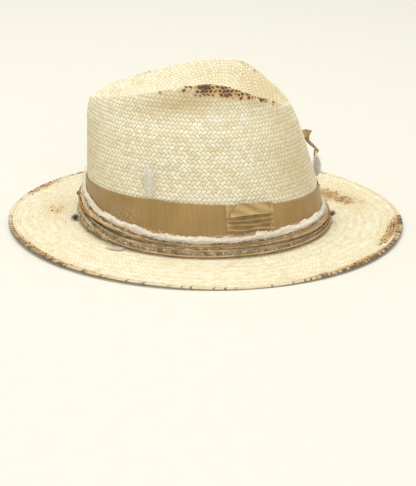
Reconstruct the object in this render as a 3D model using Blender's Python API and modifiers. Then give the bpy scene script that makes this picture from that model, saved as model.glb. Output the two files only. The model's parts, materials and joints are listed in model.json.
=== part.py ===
"""Straw fedora with a pinched crown, a worn ribbon, layered wraps and a hanging feather charm.

Metres, +Z up.  The hat rests on its brim at z = 0.  The wearer faces -Y and the wearer's left is +X.
Angles around the hat run from the front (0) over the wearer's left (+90) to the back (180).
"""
import math

import bmesh
import bpy
from mathutils import Vector

MM = 0.001
GAP = 0.3                 # clearance left between neighbouring pieces, mm

# ---- hat body, mm -------------------------------------------------------------------------------
HEAD_HALF_LENGTH = 100.0  # outer face of the crown at the brim, front to back
HEAD_HALF_WIDTH = 84.0
HEAD_EGG = 0.03           # the oval is a little narrower at the forehead
BRIM_HALF_LENGTH = 167.0  # to the outside of the braided edge
BRIM_HALF_WIDTH = 155.0
STRAW_THICKNESS = 2.0
EDGE_BRAID_WIDTH = 3.2
EDGE_BRAID_HEIGHT = 2.6
BREAK_RADIUS = 4.5        # fillet between brim and crown
BASE_Z = 6.5              # height where the crown wall starts
RIDGE_CENTRE_Y = 13.0
RIDGE_HALF_LENGTH = 87.0
RIDGE_HALF_WIDTH = 51.5
RIDGE_PINCH = 0.42        # how much the two ridges close up towards the front
RIDGE_HEIGHTS = ((0, 105.5), (38, 115.0), (68, 128.5), (92, 124.5), (116, 116.5), (143, 108.5), (180, 102.0))
WALL_POWERS = ((0, 1.4), (90, 1.45), (180, 2.4))
DENT_DEPTHS = ((0, 0.0), (30, 2.6), (64, 5.0), (105, 3.0), (140, 0.0), (180, 0.0))
DENT_LEVEL = 0.86         # dent height as a share of the ridge height
DENT_SPREAD = 0.10
CREASE_HALF_LENGTH = 45.0
CREASE_DEPTHS = ((0, 5.0), (38, 13.5), (68, 23.5), (92, 19.5), (116, 13.5), (143, 9.0), (180, 6.0))
BODY_SEGMENTS = 72

# ---- bands and wraps, mm (d = distance out from the crown wall) ----------------------------------
RIBBON_FOOT = ((0, 9.0), (90, 9.6), (180, 9.0))
RIBBON_TOP = ((0, 35.5), (40, 37.5), (90, 42.0), (140, 40.5), (180, 37.0))
RIBBON_D = (0.4, 1.2)
PATCH_D = (1.5, 2.2)
PATCH_SPAN = (-67.0, -43.0)
PATCH_Z = (18.0, 40.0)
FLAP_D = (2.5, 3.5)
FLAP_SPAN = (-63.0, -46.0)
FLAP_Z = (29.5, 38.5)
FLAP_FOOT_RISE = 0.06     # mm for each degree along the flap
FLAP_TOP_FALL = 0.05
FRAY_FOOT = ((0, 12.8), (50, 11.5), (95, 10.5), (113, 13.4), (130, 16.5), (150, 20.2), (180, 27.0))
FRAY_TOP = ((0, 18.5), (50, 17.0), (95, 15.8), (113, 19.2), (130, 22.0), (150, 27.0), (180, 36.5))
FRAY_D = (1.5, 2.9)
ROLL_D = 3.9
ROLL_Z = ((0, 10.3), (50, 9.0), (95, 8.0), (113, 10.8), (130, 13.9), (150, 17.4), (180, 23.0))
ROLL_RADIUS = 2.0
ROPE_D = ((0, 3.9), (50, 8.4), (90, 9.4), (113, 8.6), (130, 7.2), (150, 5.8), (180, 5.2))
ROPE_HALF_DEPTHS = ((0, 2.2), (50, 2.8), (90, 3.4), (130, 3.5), (180, 3.8))
ROPE_HALF_HEIGHTS = ((0, 2.2), (50, 2.8), (90, 3.2), (113, 3.8), (130, 4.7), (150, 5.7), (180, 6.4))
ROPE_SIDES = 12
LACE_RADIUS = 0.8
LACE_GAP = 0.4            # between a lace and what it lies on
# each lace's lift in degrees above level, round the cord it lies on
LOWER_LIFT = ((0, 10.0), (50, -5.0), (90, -15.0), (113, -5.0), (130, 25.0), (150, 65.0), (180, 80.0))
MIDDLE_LIFT = ((0, 55.0), (50, 50.0), (90, 45.0), (113, 52.0), (130, 72.0), (150, 100.0), (180, 118.0))
UPPER_LIFT = ((0, 52.0), (60, 38.0), (113, 32.0), (150, 10.0), (180, 0.0))
SWEATBAND_D = (-3.6, -2.4)
SWEATBAND_Z = (1.5, 37.0)
REED_RADIUS = 0.85
REED_Z = 1.15              # just clear of the surface the hat rests on
BOW_SIZE = (13.0, 3.0, 6.0)
BOW_Z = 9.0
TAG_SPAN = (172.0, 178.5)
TAG_Z = (14.0, 26.0)
TAG_THICKNESS = 0.4
WRAP_POINTS = 72

# ---- trims, mm -----------------------------------------------------------------------------------
TUFT_ANGLE = -158.0
TUFT_OUT = 5.9            # from the rope's middle
TUFT_Z = 4.1
TUFT_SIZE = 3.4
KNOT_ANGLE = 9.0
KNOT_OUT = 4.7
KNOT_Z = 9.6
KNOT_SIZE = (4.0, 3.2, 4.0)
BEAD_ANGLE = -170.0
BEAD_Z = 18.7
BEAD_D = 8.2
BEAD_SIZE = 4.0
END_RADIUS = 0.8
END_LINE = ((-112.5, 15.4), (-113.2, 16.9), (-114.6, 18.4), (-116.4, 19.4), (-118.2, 19.8))
QUARTZ_ANGLE = -101.6
QUARTZ_Z = (44.4, 68.0)
QUARTZ_RADIUS = 4.5
QUARTZ_D = 6.6
QUARTZ_PROFILE = ((-0.5, 0.06), (-0.22, 1.0), (0.30, 1.0), (0.42, 0.80), (0.5, 0.42))
THREAD_RADIUS = 0.35
CHARM_ANGLE = 27.0
CHARM_HINGE_Z = 57.0
CHARM_HINGE_D = 10.0
STEM_RADIUS = 0.9
KNOB_Z = 25.0
KNOB_SIZE = 4.0
TAB_SIZE = (8.6, 3.6, 9.0)
TAB_RISE = 5.0            # middle of the tab above the stem's end
LOOP_RADIUS = 1.9
LOOP_WIRE = 0.35
FEATHER_LENGTH = 20.0
FEATHER_HALF_WIDTH = 4.6
FEATHER_THICKNESS = 0.5
QUILL_RADIUS = 0.45
QUILL_OFFSET = 0.5        # quill and vane lie side by side
VANE_DROP = 3.0           # bare quill above the vane
VANE_LENGTH = 18.0
VANE_SHARES = (0.72, 1.28)
VANE_SHAPE = ((0.0, 0.18), (0.10, 0.62), (0.26, 0.98), (0.45, 1.0), (0.64, 0.78), (0.82, 0.46), (1.0, 0.10))


# ---- shape functions -----------------------------------------------------------------------------
def eased(stations, degrees):
    """Smooth value between (angle, value) stations, the same on both sides of the hat."""
    angle = abs((degrees + 180.0) % 360.0 - 180.0)
    for (a0, v0), (a1, v1) in zip(stations, stations[1:]):
        if angle <= a1:
            break
    i = [s[0] for s in stations].index(a0)

    def slope(k):
        if k <= 0 or k >= len(stations) - 1:
            return 0.0
        (xa, ya), (xb, yb), (xc, yc) = stations[k - 1:k + 2]
        ha, hb = xb - xa, xc - xb
        return ((yb - ya) / ha * hb + (yc - yb) / hb * ha) / (ha + hb)

    h = a1 - a0
    u = (angle - a0) / h
    return ((2 * u ** 3 - 3 * u ** 2 + 1) * v0 + (u ** 3 - 2 * u ** 2 + u) * h * slope(i)
            + (3 * u ** 2 - 2 * u ** 3) * v1 + (u ** 3 - u ** 2) * h * slope(i + 1))


def base_point(degrees):
    a = math.radians(degrees)
    x = HEAD_HALF_WIDTH * math.sin(a) * (1.0 - HEAD_EGG * math.cos(a))
    return Vector((x, -HEAD_HALF_LENGTH * math.cos(a)))


def ridge_point(degrees):
    a = math.radians(degrees)
    pinch = 1.0 - RIDGE_PINCH * max(math.cos(a), 0.0) ** 2
    return Vector((RIDGE_HALF_WIDTH * math.sin(a) * pinch,
                   RIDGE_CENTRE_Y - RIDGE_HALF_LENGTH * math.cos(a)))


def brim_point(degrees, inset=0.0):
    a = math.radians(degrees)
    return Vector(((BRIM_HALF_WIDTH - inset) * math.sin(a), -(BRIM_HALF_LENGTH - inset) * math.cos(a)))


def wall_point(degrees, z):
    """Outer face of the crown wall at a height, before any offset."""
    top = eased(RIDGE_HEIGHTS, degrees)
    u = max((z - BASE_Z) / (top - BASE_Z), 0.0)
    base = base_point(degrees)
    point = base + (ridge_point(degrees) - base) * u ** eased(WALL_POWERS, degrees)
    dent = eased(DENT_DEPTHS, degrees) * math.exp(-((u - DENT_LEVEL) / DENT_SPREAD) ** 2)
    return point - dent * base.normalized()


def wall_normal(degrees, z):
    step = 0.5
    along = wall_point(degrees + step, z) - wall_point(degrees - step, z)
    return Vector((along.y, -along.x)).normalized()


def out(degrees, d, z):
    """A point d mm outside the crown wall at an angle and a height, in metres."""
    p = wall_point(degrees, max(z, BASE_Z)) + d * wall_normal(degrees, max(z, BASE_Z))
    return Vector((p.x * MM, p.y * MM, z * MM))


def catmull(points, steps):
    """Points along a smooth line through the given ones."""
    ext = [2 * points[0] - points[1]] + list(points) + [2 * points[-1] - points[-2]]
    line = []
    for k, count in zip(range(len(points) - 1), steps):
        a, b, c, d = ext[k:k + 4]
        for j in range(count):
            u = j / count
            line.append(0.5 * (2 * b + (c - a) * u + (2 * a - 5 * b + 4 * c - d) * u * u
                               + (3 * b - a - 3 * c + d) * u ** 3))
    line.append(points[-1])
    return line


# ---- scene helpers -------------------------------------------------------------------------------
for old in list(bpy.data.objects):
    bpy.data.objects.remove(old)
hat = bpy.data.collections.new("straw_fedora")
bpy.context.scene.collection.children.link(hat)


def material(name, colour, roughness, metallic=0.0):
    mat = bpy.data.materials.new(name)
    mat.use_nodes = True
    shader = mat.node_tree.nodes["Principled BSDF"]
    shader.inputs["Base Color"].default_value = (*colour, 1.0)
    shader.inputs["Roughness"].default_value = roughness
    shader.inputs["Metallic"].default_value = metallic
    mat.diffuse_color = (*colour, 1.0)
    return mat


def add(name, bm, mat, smooth=True):
    """Turn a bmesh into one named object with its own material."""
    bmesh.ops.recalc_face_normals(bm, faces=bm.faces)
    mesh = bpy.data.meshes.new(name)
    bm.to_mesh(mesh)
    bm.free()
    obj = bpy.data.objects.new(name, mesh)
    obj.data.materials.append(mat)
    for polygon in mesh.polygons:
        polygon.use_smooth = smooth
    hat.objects.link(obj)
    return obj


def loft(name, sections, mat, closed=True, smooth=True):
    """Join equal-length closed sections; a closed loft meets its own start, an open one is capped."""
    bm = bmesh.new()
    rings = [[bm.verts.new(p) for p in section] for section in sections]
    size = len(rings[0])
    last = len(rings) if closed else len(rings) - 1
    for i in range(last):
        a, b = rings[i], rings[(i + 1) % len(rings)]
        for j in range(size):
            bm.faces.new((a[j], a[(j + 1) % size], b[(j + 1) % size], b[j]))
    if not closed:
        bm.faces.new(rings[0])
        bm.faces.new(rings[-1])
    return add(name, bm, mat, smooth)


def band(name, foot, top, d, mat, count=WRAP_POINTS, span=None):
    """A curved strip lying on the crown wall, all round or over a span of angles."""
    sections = []
    steps = count if span is None else count + 1
    for i in range(steps):
        angle = 360.0 * i / count if span is None else span[0] + (span[1] - span[0]) * i / count
        z0, z1 = foot(angle), top(angle)
        levels = [z0, 0.5 * (z0 + z1), z1]
        section = [out(angle, d[0], z) for z in levels]
        section += [out(angle, d[1], z) for z in reversed(levels)]
        sections.append(section)
    return loft(name, sections, mat, closed=span is None)


def tube(name, points, radius, mat, cyclic=True, radii=None):
    """A round cord along a line of points."""
    curve = bpy.data.curves.new(name, "CURVE")
    curve.dimensions = "3D"
    curve.bevel_depth = radius * MM
    curve.bevel_resolution = 2
    curve.use_fill_caps = not cyclic
    curve.render_resolution_u = 0
    spline = curve.splines.new("POLY")
    spline.points.add(len(points) - 1)
    for k, p in enumerate(points):
        spline.points[k].co = (*p, 1.0)
        spline.points[k].radius = 1.0 if radii is None else radii[k] / radius
    spline.use_cyclic_u = cyclic
    holder = bpy.data.objects.new(name + "_route", curve)
    hat.objects.link(holder)
    bpy.context.view_layer.update()
    mesh = bpy.data.meshes.new_from_object(holder.evaluated_get(bpy.context.evaluated_depsgraph_get()))
    bpy.data.objects.remove(holder)
    bpy.data.curves.remove(curve)
    mesh.name = name
    mesh.materials.clear()
    mesh.materials.append(mat)
    obj = bpy.data.objects.new(name, mesh)
    for polygon in mesh.polygons:
        polygon.use_smooth = True
    hat.objects.link(obj)
    return obj


def ring_route(d, z, count=WRAP_POINTS):
    angles = [360.0 * i / count for i in range(count)]
    return [out(a, d(a), z(a)) for a in angles]


def blob(name, centre, size, mat, shape=None, turn=0.0, segments=16, rings=10):
    """A rounded lump: a sphere stretched to size (mm) and reshaped by an optional function."""
    bm = bmesh.new()
    bmesh.ops.create_uvsphere(bm, u_segments=segments, v_segments=rings, radius=1.0)
    for v in bm.verts:
        p = v.co.copy()
        if shape:
            p = shape(p)
        p = Vector((p.x * size[0], p.y * size[1], p.z * size[2])) * 0.5
        c, s = math.cos(turn), math.sin(turn)
        v.co = centre + Vector((c * p.x - s * p.y, s * p.x + c * p.y, p.z)) * MM
    return add(name, bm, mat)


# ---- materials -----------------------------------------------------------------------------------
STRAW = (0.78, 0.68, 0.44)
straw = material("straw_body", STRAW, 0.72)
edge_straw = material("straw_edge", (0.52, 0.40, 0.22), 0.75)
leather = material("sweatband_leather", (0.45, 0.30, 0.18), 0.5)
reed_mat = material("reed_cord", (0.70, 0.62, 0.45), 0.6)
bow_mat = material("bow_satin", (0.36, 0.26, 0.17), 0.45)
tag_mat = material("tag_card", (0.85, 0.82, 0.74), 0.8)
ribbon_mat = material("ribbon_grosgrain", (0.38, 0.25, 0.12), 0.55)
patch_mat = material("patch_silk", (0.34, 0.22, 0.10), 0.6)
flap_mat = material("flap_silk", (0.42, 0.30, 0.16), 0.6)
fray_mat = material("fray_cotton", (0.80, 0.70, 0.58), 0.9)
roll_mat = material("roll_cloth", (0.45, 0.30, 0.16), 0.8)
lace_upper_mat = material("lace_upper_leather", (0.33, 0.21, 0.11), 0.7)
lace_middle_mat = material("lace_middle_leather", (0.36, 0.24, 0.13), 0.7)
lace_lower_mat = material("lace_lower_leather", (0.38, 0.26, 0.14), 0.7)
rope_mat = material("rope_denim", (0.30, 0.27, 0.20), 0.95)
tuft_mat = material("tuft_thread", (0.12, 0.09, 0.06), 0.95)
knot_mat = material("knot_leather", (0.20, 0.14, 0.09), 0.8)
bead_mat = material("bead_wood", (0.14, 0.07, 0.04), 0.4)
end_mat = material("loose_end_cotton", (0.80, 0.72, 0.58), 0.9)
quartz_mat = material("quartz_crystal", (0.90, 0.90, 0.88), 0.15)
quartz_thread_mat = material("quartz_thread_cotton", (0.82, 0.78, 0.70), 0.8)
knob_mat = material("knob_brass", (0.55, 0.40, 0.18), 0.35, 1.0)
stem_mat = material("stem_twine", (0.45, 0.33, 0.20), 0.8)
tab_mat = material("tab_cloth", (0.50, 0.37, 0.22), 0.85)
loop_mat = material("loop_brass", (0.60, 0.45, 0.20), 0.3, 1.0)
quill_mat = material("quill_horn", (0.80, 0.74, 0.64), 0.4)
vane_mat = material("vane_down", (0.82, 0.72, 0.66), 0.9)


# ---- woven hat body ------------------------------------------------------------------------------
def body_profile(angle):
    """Outer face from the brim edge, up the wall, over the ridge and down to the crease, in mm."""
    n = wall_normal(angle, BASE_Z)
    base = base_point(angle)
    edge = brim_point(angle, EDGE_BRAID_WIDTH + GAP)
    foot = base + n * BREAK_RADIUS
    line = []
    brim_steps = 5
    for k in range(brim_steps):
        p = edge.lerp(foot, k / brim_steps)
        line.append(Vector((p.x, p.y, STRAW_THICKNESS)))
    fillet_steps = 4
    for k in range(fillet_steps):
        a = math.radians(90.0 * k / fillet_steps)
        p = base + n * BREAK_RADIUS * (1.0 - math.sin(a))
        line.append(Vector((p.x, p.y, BASE_Z - BREAK_RADIUS * math.cos(a))))
    top = eased(RIDGE_HEIGHTS, angle)

    def on_wall(u):
        z = BASE_Z + u * (top - BASE_Z)
        p = wall_point(angle, z)
        return Vector((p.x, p.y, z))

    line += [on_wall(u) for u in (0.0, 0.10, 0.20, 0.30, 0.42, 0.54, 0.64)]
    key = [on_wall(u) for u in (0.64, 0.72, 0.80, 0.88)]
    ridge = ridge_point(angle)
    crease = Vector((0.0, RIDGE_CENTRE_Y - CREASE_HALF_LENGTH * math.cos(math.radians(angle))))
    depth = eased(CREASE_DEPTHS, angle)
    for v, drop in ((0.955, 0.0), (0.82, 0.08), (0.54, 0.58), (0.16, 1.0)):
        p = crease.lerp(ridge, v)
        key.append(Vector((p.x, p.y, top - drop * depth)))
    return line + catmull(key, (0, 1, 1, 3, 2, 2, 2))


bm = bmesh.new()
columns = [[bm.verts.new(p * MM) for p in body_profile(360.0 * i / BODY_SEGMENTS)]
           for i in range(BODY_SEGMENTS)]
rows = len(columns[0])
for i in range(BODY_SEGMENTS):
    left, right = columns[i], columns[(i + 1) % BODY_SEGMENTS]
    for j in range(rows - 1):
        bm.faces.new((left[j], right[j], right[j + 1], left[j + 1]))
half = BODY_SEGMENTS // 2
for i in range(half):
    across = BODY_SEGMENTS - i
    corner = []
    for v in [columns[k % BODY_SEGMENTS][-1] for k in (i, i + 1, across - 1, across)]:
        if v not in corner:
            corner.append(v)
    bm.faces.new(corner)
body = add("woven_hat_body", bm, straw)
shell = body.modifiers.new("thickness", "SOLIDIFY")
shell.thickness = STRAW_THICKNESS * MM
shell.offset = -1.0
shell.use_even_offset = True

# ---- braided brim edge ---------------------------------------------------------------------------
sections = []
for i in range(BODY_SEGMENTS):
    angle = 360.0 * i / BODY_SEGMENTS
    inner = brim_point(angle, EDGE_BRAID_WIDTH)
    outer = brim_point(angle)
    middle = inner.lerp(outer, 0.5)
    sections.append([Vector((p.x, p.y, z)) * MM for p, z in (
        (inner, 0.0), (middle, 0.0), (outer, 0.7), (outer, EDGE_BRAID_HEIGHT - 0.9),
        (middle, EDGE_BRAID_HEIGHT), (inner, EDGE_BRAID_HEIGHT - 0.5))])
loft("brim_edge_braid", sections, edge_straw)

# ---- sweatband and what belongs to it ------------------------------------------------------------
band("sweatband", lambda a: SWEATBAND_Z[0], lambda a: SWEATBAND_Z[1], SWEATBAND_D, leather)
reed_d = SWEATBAND_D[1] + GAP + REED_RADIUS
tube("sweatband_reed", ring_route(lambda a: reed_d, lambda a: REED_Z), REED_RADIUS, reed_mat)


def bow_shape(p):
    waist = 0.35 + 0.65 * min(abs(p.x) * 1.6, 1.0)
    return Vector((p.x, p.y * waist, p.z * waist))


inner_d = SWEATBAND_D[0] - GAP
blob("sweatband_bow", out(180.0, inner_d - 0.5 * BOW_SIZE[1], BOW_Z), BOW_SIZE, bow_mat, bow_shape)
band("size_tag", lambda a: TAG_Z[0], lambda a: TAG_Z[1], (inner_d - TAG_THICKNESS, inner_d), tag_mat,
     4, TAG_SPAN)

# ---- ribbon --------------------------------------------------------------------------------------
band("ribbon_band", lambda a: eased(RIBBON_FOOT, a), lambda a: eased(RIBBON_TOP, a), RIBBON_D, ribbon_mat)
band("ribbon_patch", lambda a: PATCH_Z[0], lambda a: PATCH_Z[1], PATCH_D, patch_mat, 14, PATCH_SPAN)
band("ribbon_flap", lambda a: FLAP_Z[0] + FLAP_FOOT_RISE * (a - FLAP_SPAN[0]),
     lambda a: FLAP_Z[1] - FLAP_TOP_FALL * (a - FLAP_SPAN[0]), FLAP_D, flap_mat, 8, FLAP_SPAN)

# ---- frayed strip, roll, rope and laces ----------------------------------------------------------
band("frayed_strip", lambda a: eased(FRAY_FOOT, a), lambda a: eased(FRAY_TOP, a), FRAY_D, fray_mat)


def rope_half_depth(angle):
    return eased(ROPE_HALF_DEPTHS, angle)


def rope_half_height(angle):
    return eased(ROPE_HALF_HEIGHTS, angle)


def rope_d(angle):
    return eased(ROPE_D, angle)


def rope_z(angle):
    return STRAW_THICKNESS + GAP + rope_half_height(angle)


def roll_radius(angle):
    return ROLL_RADIUS


def roll_d(angle):
    return ROLL_D


def roll_z(angle):
    return eased(ROLL_Z, angle)


def around(angle, turn, cord, clear=0.0):
    """A point round a cord of oval section; turn is in degrees above level, clear in mm off its face."""
    d, z, half_depth, half_height = (part(angle) for part in cord)
    t = math.radians(turn)
    return out(angle, d + (half_depth + clear) * math.cos(t), z + (half_height + clear) * math.sin(t))


ROPE = (rope_d, rope_z, rope_half_depth, rope_half_height)
ROLL = (roll_d, roll_z, roll_radius, roll_radius)
angles = [360.0 * i / WRAP_POINTS for i in range(WRAP_POINTS)]
turns = [360.0 * k / ROPE_SIDES for k in range(ROPE_SIDES)]
loft("denim_rope", [[around(a, turn, ROPE) for turn in turns] for a in angles], rope_mat)
tube("twisted_roll", ring_route(roll_d, roll_z), ROLL_RADIUS, roll_mat)
for name, lifts, cord, mat in (("lace_lower", LOWER_LIFT, ROPE, lace_lower_mat),
                               ("lace_middle", MIDDLE_LIFT, ROPE, lace_middle_mat),
                               ("lace_upper", UPPER_LIFT, ROLL, lace_upper_mat)):
    route = [around(a, eased(lifts, a), cord, LACE_RADIUS + LACE_GAP) for a in angles]
    tube(name, route, LACE_RADIUS, mat)

# ---- small trims on the wraps --------------------------------------------------------------------
blob("rope_tuft", out(TUFT_ANGLE, rope_d(TUFT_ANGLE) + TUFT_OUT, TUFT_Z), (TUFT_SIZE,) * 3, tuft_mat)
blob("lace_knot", out(KNOT_ANGLE, rope_d(KNOT_ANGLE) + KNOT_OUT, KNOT_Z), KNOT_SIZE, knot_mat,
     turn=math.radians(KNOT_ANGLE))
blob("wood_bead", out(BEAD_ANGLE, BEAD_D, BEAD_Z), (BEAD_SIZE,) * 3, bead_mat)
end_z = STRAW_THICKNESS + GAP + END_RADIUS
tube("loose_end", [out(a, d, end_z) for a, d in END_LINE], END_RADIUS, end_mat, False)

# ---- quartz point and its thread -----------------------------------------------------------------
z_low, z_high = QUARTZ_Z
middle = out(QUARTZ_ANGLE, QUARTZ_D, 0.5 * (z_low + z_high))
lean = out(QUARTZ_ANGLE, QUARTZ_D, z_high) - out(QUARTZ_ANGLE, QUARTZ_D, z_low)
axis = lean.normalized()
side = axis.cross(Vector((1, 0, 0))).normalized()
front = axis.cross(side).normalized()
sections = []
for along, share in QUARTZ_PROFILE:
    centre = middle + lean * along
    section = []
    for k in range(6):
        a = math.radians(60.0 * k + 30.0)
        section.append(centre + (side * math.cos(a) + front * math.sin(a)) * QUARTZ_RADIUS * share * MM)
    sections.append(section)
loft("quartz_point", sections, quartz_mat, closed=False, smooth=False)
thread_reach = QUARTZ_RADIUS + GAP + THREAD_RADIUS
tube("quartz_thread", [middle + (side * math.cos(a) + front * math.sin(a)) * thread_reach * MM
                       for a in (math.radians(15.0 * k) for k in range(24))],
     THREAD_RADIUS, quartz_thread_mat)

# ---- charm: knob, stem, tab, then the hanging loop, quill and vane -----------------------------------
radial2 = wall_normal(CHARM_ANGLE, CHARM_HINGE_Z)
radial = Vector((radial2.x, radial2.y, 0.0))
tangent = Vector((-radial2.y, radial2.x, 0.0))
hinge = out(CHARM_ANGLE, CHARM_HINGE_D, CHARM_HINGE_Z)
knob_d = RIBBON_D[1] + GAP + 0.5 * KNOB_SIZE
blob("trim_knob", out(CHARM_ANGLE, knob_d, KNOB_Z), (KNOB_SIZE,) * 3, knob_mat)
low = out(CHARM_ANGLE, knob_d, KNOB_Z + 0.5 * KNOB_SIZE + GAP)
stem_keys = [low, out(CHARM_ANGLE + 2.5, 4.0, 34.0), out(CHARM_ANGLE + 4.0, 8.0, 46.0),
             hinge + tangent * 4.5 * MM - Vector((0, 0, 3.0)) * MM,
             hinge + tangent * 2.2 * MM, hinge - tangent * 2.2 * MM,
             hinge - tangent * 3.2 * MM - radial * 2.6 * MM + Vector((0, 0, 3.6)) * MM,
             hinge - tangent * 1.0 * MM - radial * 9.5 * MM + Vector((0, 0, 10.5)) * MM]
tube("trim_stem", catmull(stem_keys, (3, 3, 3, 3, 2, 3, 3)), STEM_RADIUS, stem_mat, False)


def tab_shape(p):
    notch = 1.0 - 0.30 * math.exp(-(p.x / 0.25) ** 2) if p.z > 0 else 1.0
    flare = 0.30 + 0.70 * min(max(0.5 * p.z + 0.6, 0.0), 1.0)
    square = 1.0 - 0.25 * p.x * p.x
    return Vector((p.x * flare / square, p.y, p.z * notch))


blob("trim_tab", stem_keys[-1] + Vector((0, 0, TAB_RISE)) * MM, TAB_SIZE, tab_mat, tab_shape,
     turn=math.atan2(radial.y, radial.x), segments=20, rings=14)

loop_drop = LOOP_RADIUS - LOOP_WIRE - STEM_RADIUS - GAP
loop_centre = hinge - Vector((0, 0, loop_drop)) * MM
loop_line = []
for k in range(24):
    a = math.radians(15.0 * k)
    loop_line.append(loop_centre + (radial * math.cos(a) + Vector((0, 0, math.sin(a)))) * LOOP_RADIUS * MM)
loop = tube("feather_loop", loop_line, LOOP_WIRE, loop_mat)
quill_top = loop_centre - Vector((0, 0, LOOP_RADIUS + LOOP_WIRE + GAP)) * MM
quill_steps = 8
quill_line = [quill_top - Vector((0, 0, FEATHER_LENGTH * k / quill_steps)) * MM + tangent * QUILL_OFFSET * MM
              for k in range(quill_steps + 1)]
quill_radii = [QUILL_RADIUS * (1.0 - 0.62 * k / quill_steps) for k in range(quill_steps + 1)]
quill = tube("feather_quill", quill_line, QUILL_RADIUS, quill_mat, False, radii=quill_radii)
vane_top = quill_top - Vector((0, 0, VANE_DROP)) * MM - tangent * QUILL_OFFSET * MM
h = tangent * 0.5 * FEATHER_THICKNESS * MM
sections = []
for along, share in VANE_SHAPE:
    centre = vane_top - Vector((0, 0, VANE_LENGTH * along)) * MM
    w = radial * FEATHER_HALF_WIDTH * share * MM
    sections.append([centre - w * VANE_SHARES[0], centre + h, centre + w * VANE_SHARES[1], centre - h])
vane = loft("feather_vane", sections, vane_mat, closed=False, smooth=False)

swing = bpy.data.objects.new("feather_swing", None)
swing.location = hinge
hat.objects.link(swing)
bpy.context.view_layer.update()
for piece in (loop, quill, vane):
    piece.parent = swing
    piece.matrix_parent_inverse = swing.matrix_world.inverted()
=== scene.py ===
"""Straw fedora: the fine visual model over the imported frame.

Metres in Blender, millimetres in the shape functions.  -Y is the front, +X the wearer's left,
and angles run from the front (0) over the wearer's left (+90) to the back (180).
"""
import json
import math

import bpy
import numpy as np
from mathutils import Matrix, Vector


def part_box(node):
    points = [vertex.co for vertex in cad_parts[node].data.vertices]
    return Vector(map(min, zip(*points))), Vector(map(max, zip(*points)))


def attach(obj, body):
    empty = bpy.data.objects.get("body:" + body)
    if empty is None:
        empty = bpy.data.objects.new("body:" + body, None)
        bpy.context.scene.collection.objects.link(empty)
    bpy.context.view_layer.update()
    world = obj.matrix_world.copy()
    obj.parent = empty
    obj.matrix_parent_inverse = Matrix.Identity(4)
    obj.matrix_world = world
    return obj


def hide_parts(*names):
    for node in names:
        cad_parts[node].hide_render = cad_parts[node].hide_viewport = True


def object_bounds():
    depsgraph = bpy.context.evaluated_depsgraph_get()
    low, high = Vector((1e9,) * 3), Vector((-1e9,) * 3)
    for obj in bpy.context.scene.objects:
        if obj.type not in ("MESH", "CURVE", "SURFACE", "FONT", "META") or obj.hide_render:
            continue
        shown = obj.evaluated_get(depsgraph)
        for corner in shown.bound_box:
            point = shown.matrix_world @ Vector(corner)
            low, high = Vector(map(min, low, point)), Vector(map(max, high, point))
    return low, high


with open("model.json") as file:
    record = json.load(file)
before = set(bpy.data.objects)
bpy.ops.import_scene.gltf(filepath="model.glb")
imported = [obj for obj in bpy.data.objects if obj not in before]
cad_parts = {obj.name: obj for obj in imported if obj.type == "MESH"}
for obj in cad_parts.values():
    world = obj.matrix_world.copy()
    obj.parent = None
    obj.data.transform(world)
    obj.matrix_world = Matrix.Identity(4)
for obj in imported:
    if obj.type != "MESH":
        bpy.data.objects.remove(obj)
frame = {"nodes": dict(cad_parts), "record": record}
cad_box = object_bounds()
scene = bpy.context.scene
MM = 0.001
TAU = 2 * math.pi

# ---- camera, light and floor ---------------------------------------------------------------------
CAMERA_AZIMUTH = math.radians(-75.0)
CAMERA_ELEVATION = math.radians(20.5)
CAMERA_DISTANCE = 1.275
LENS = 111.1
SHIFT = (0.007, -0.051)
FLOOR_REACH, FLOOR_GAP = 12.0, 0.0002


def add_camera():
    data = bpy.data.cameras.new("camera")
    data.lens = LENS
    data.shift_x, data.shift_y = SHIFT
    data.clip_end = 100.0
    back = Vector((math.sin(CAMERA_AZIMUTH) * math.cos(CAMERA_ELEVATION),
                   -math.cos(CAMERA_AZIMUTH) * math.cos(CAMERA_ELEVATION),
                   math.sin(CAMERA_ELEVATION)))
    camera = bpy.data.objects.new("camera", data)
    camera.location = back * CAMERA_DISTANCE
    camera.rotation_euler = (-back).to_track_quat("-Z", "Y").to_euler()
    scene.collection.objects.link(camera)
    scene.camera = camera


def add_area(name, place, size, power, colour):
    data = bpy.data.lights.new(name, "AREA")
    data.shape = "DISK"
    data.size = size
    data.energy = power
    data.color = colour
    light = bpy.data.objects.new(name, data)
    light.location = place
    light.rotation_euler = (-Vector(place)).to_track_quat("-Z", "Y").to_euler()
    scene.collection.objects.link(light)


add_camera()
add_area("overhead", (0.20, 0.35, 2.2), 1.8, 36.0, (1.0, 0.99, 0.965))
add_area("front_fill", (-1.5, -0.7, 0.9), 1.2, 7.0, (1.0, 0.99, 0.96))
scene.world = bpy.data.worlds.new("studio")
scene.world.use_nodes = True
sky = scene.world.node_tree.nodes["Background"]
sky.inputs["Color"].default_value = (1.0, 0.99, 0.955, 1.0)
sky.inputs["Strength"].default_value = 0.56
scene.view_settings.view_transform = "Standard"


# ---- node graph helper -----------------------------------------------------------------------------
class Value:
    """A socket that can be used in sums, so a pattern reads like its formula."""

    def __init__(self, graph, socket):
        self.graph = graph
        self.socket = socket

    def __rsub__(self, other):
        return self.graph.math("SUBTRACT", other, self)

    def ramp(self, low, high):
        """0 at low, 1 at high, smooth between."""
        return self.graph.node("ShaderNodeMapRange", {"Value": self, "From Min": low, "From Max": high},
                               interpolation_type="SMOOTHSTEP")


def operator(name):
    return lambda value, other=None: value.graph.math(name, value, other)


for method, name in (("__add__", "ADD"), ("__radd__", "ADD"), ("__sub__", "SUBTRACT"), ("__mul__", "MULTIPLY"),
                     ("__rmul__", "MULTIPLY"), ("__truediv__", "DIVIDE"), ("__gt__", "GREATER_THAN"),
                     ("floor", "FLOOR"), ("cos", "COSINE"), ("sin", "SINE"), ("abs", "ABSOLUTE"),
                     ("max", "MAXIMUM"), ("power", "POWER")):
    setattr(Value, method, operator(name))


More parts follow.
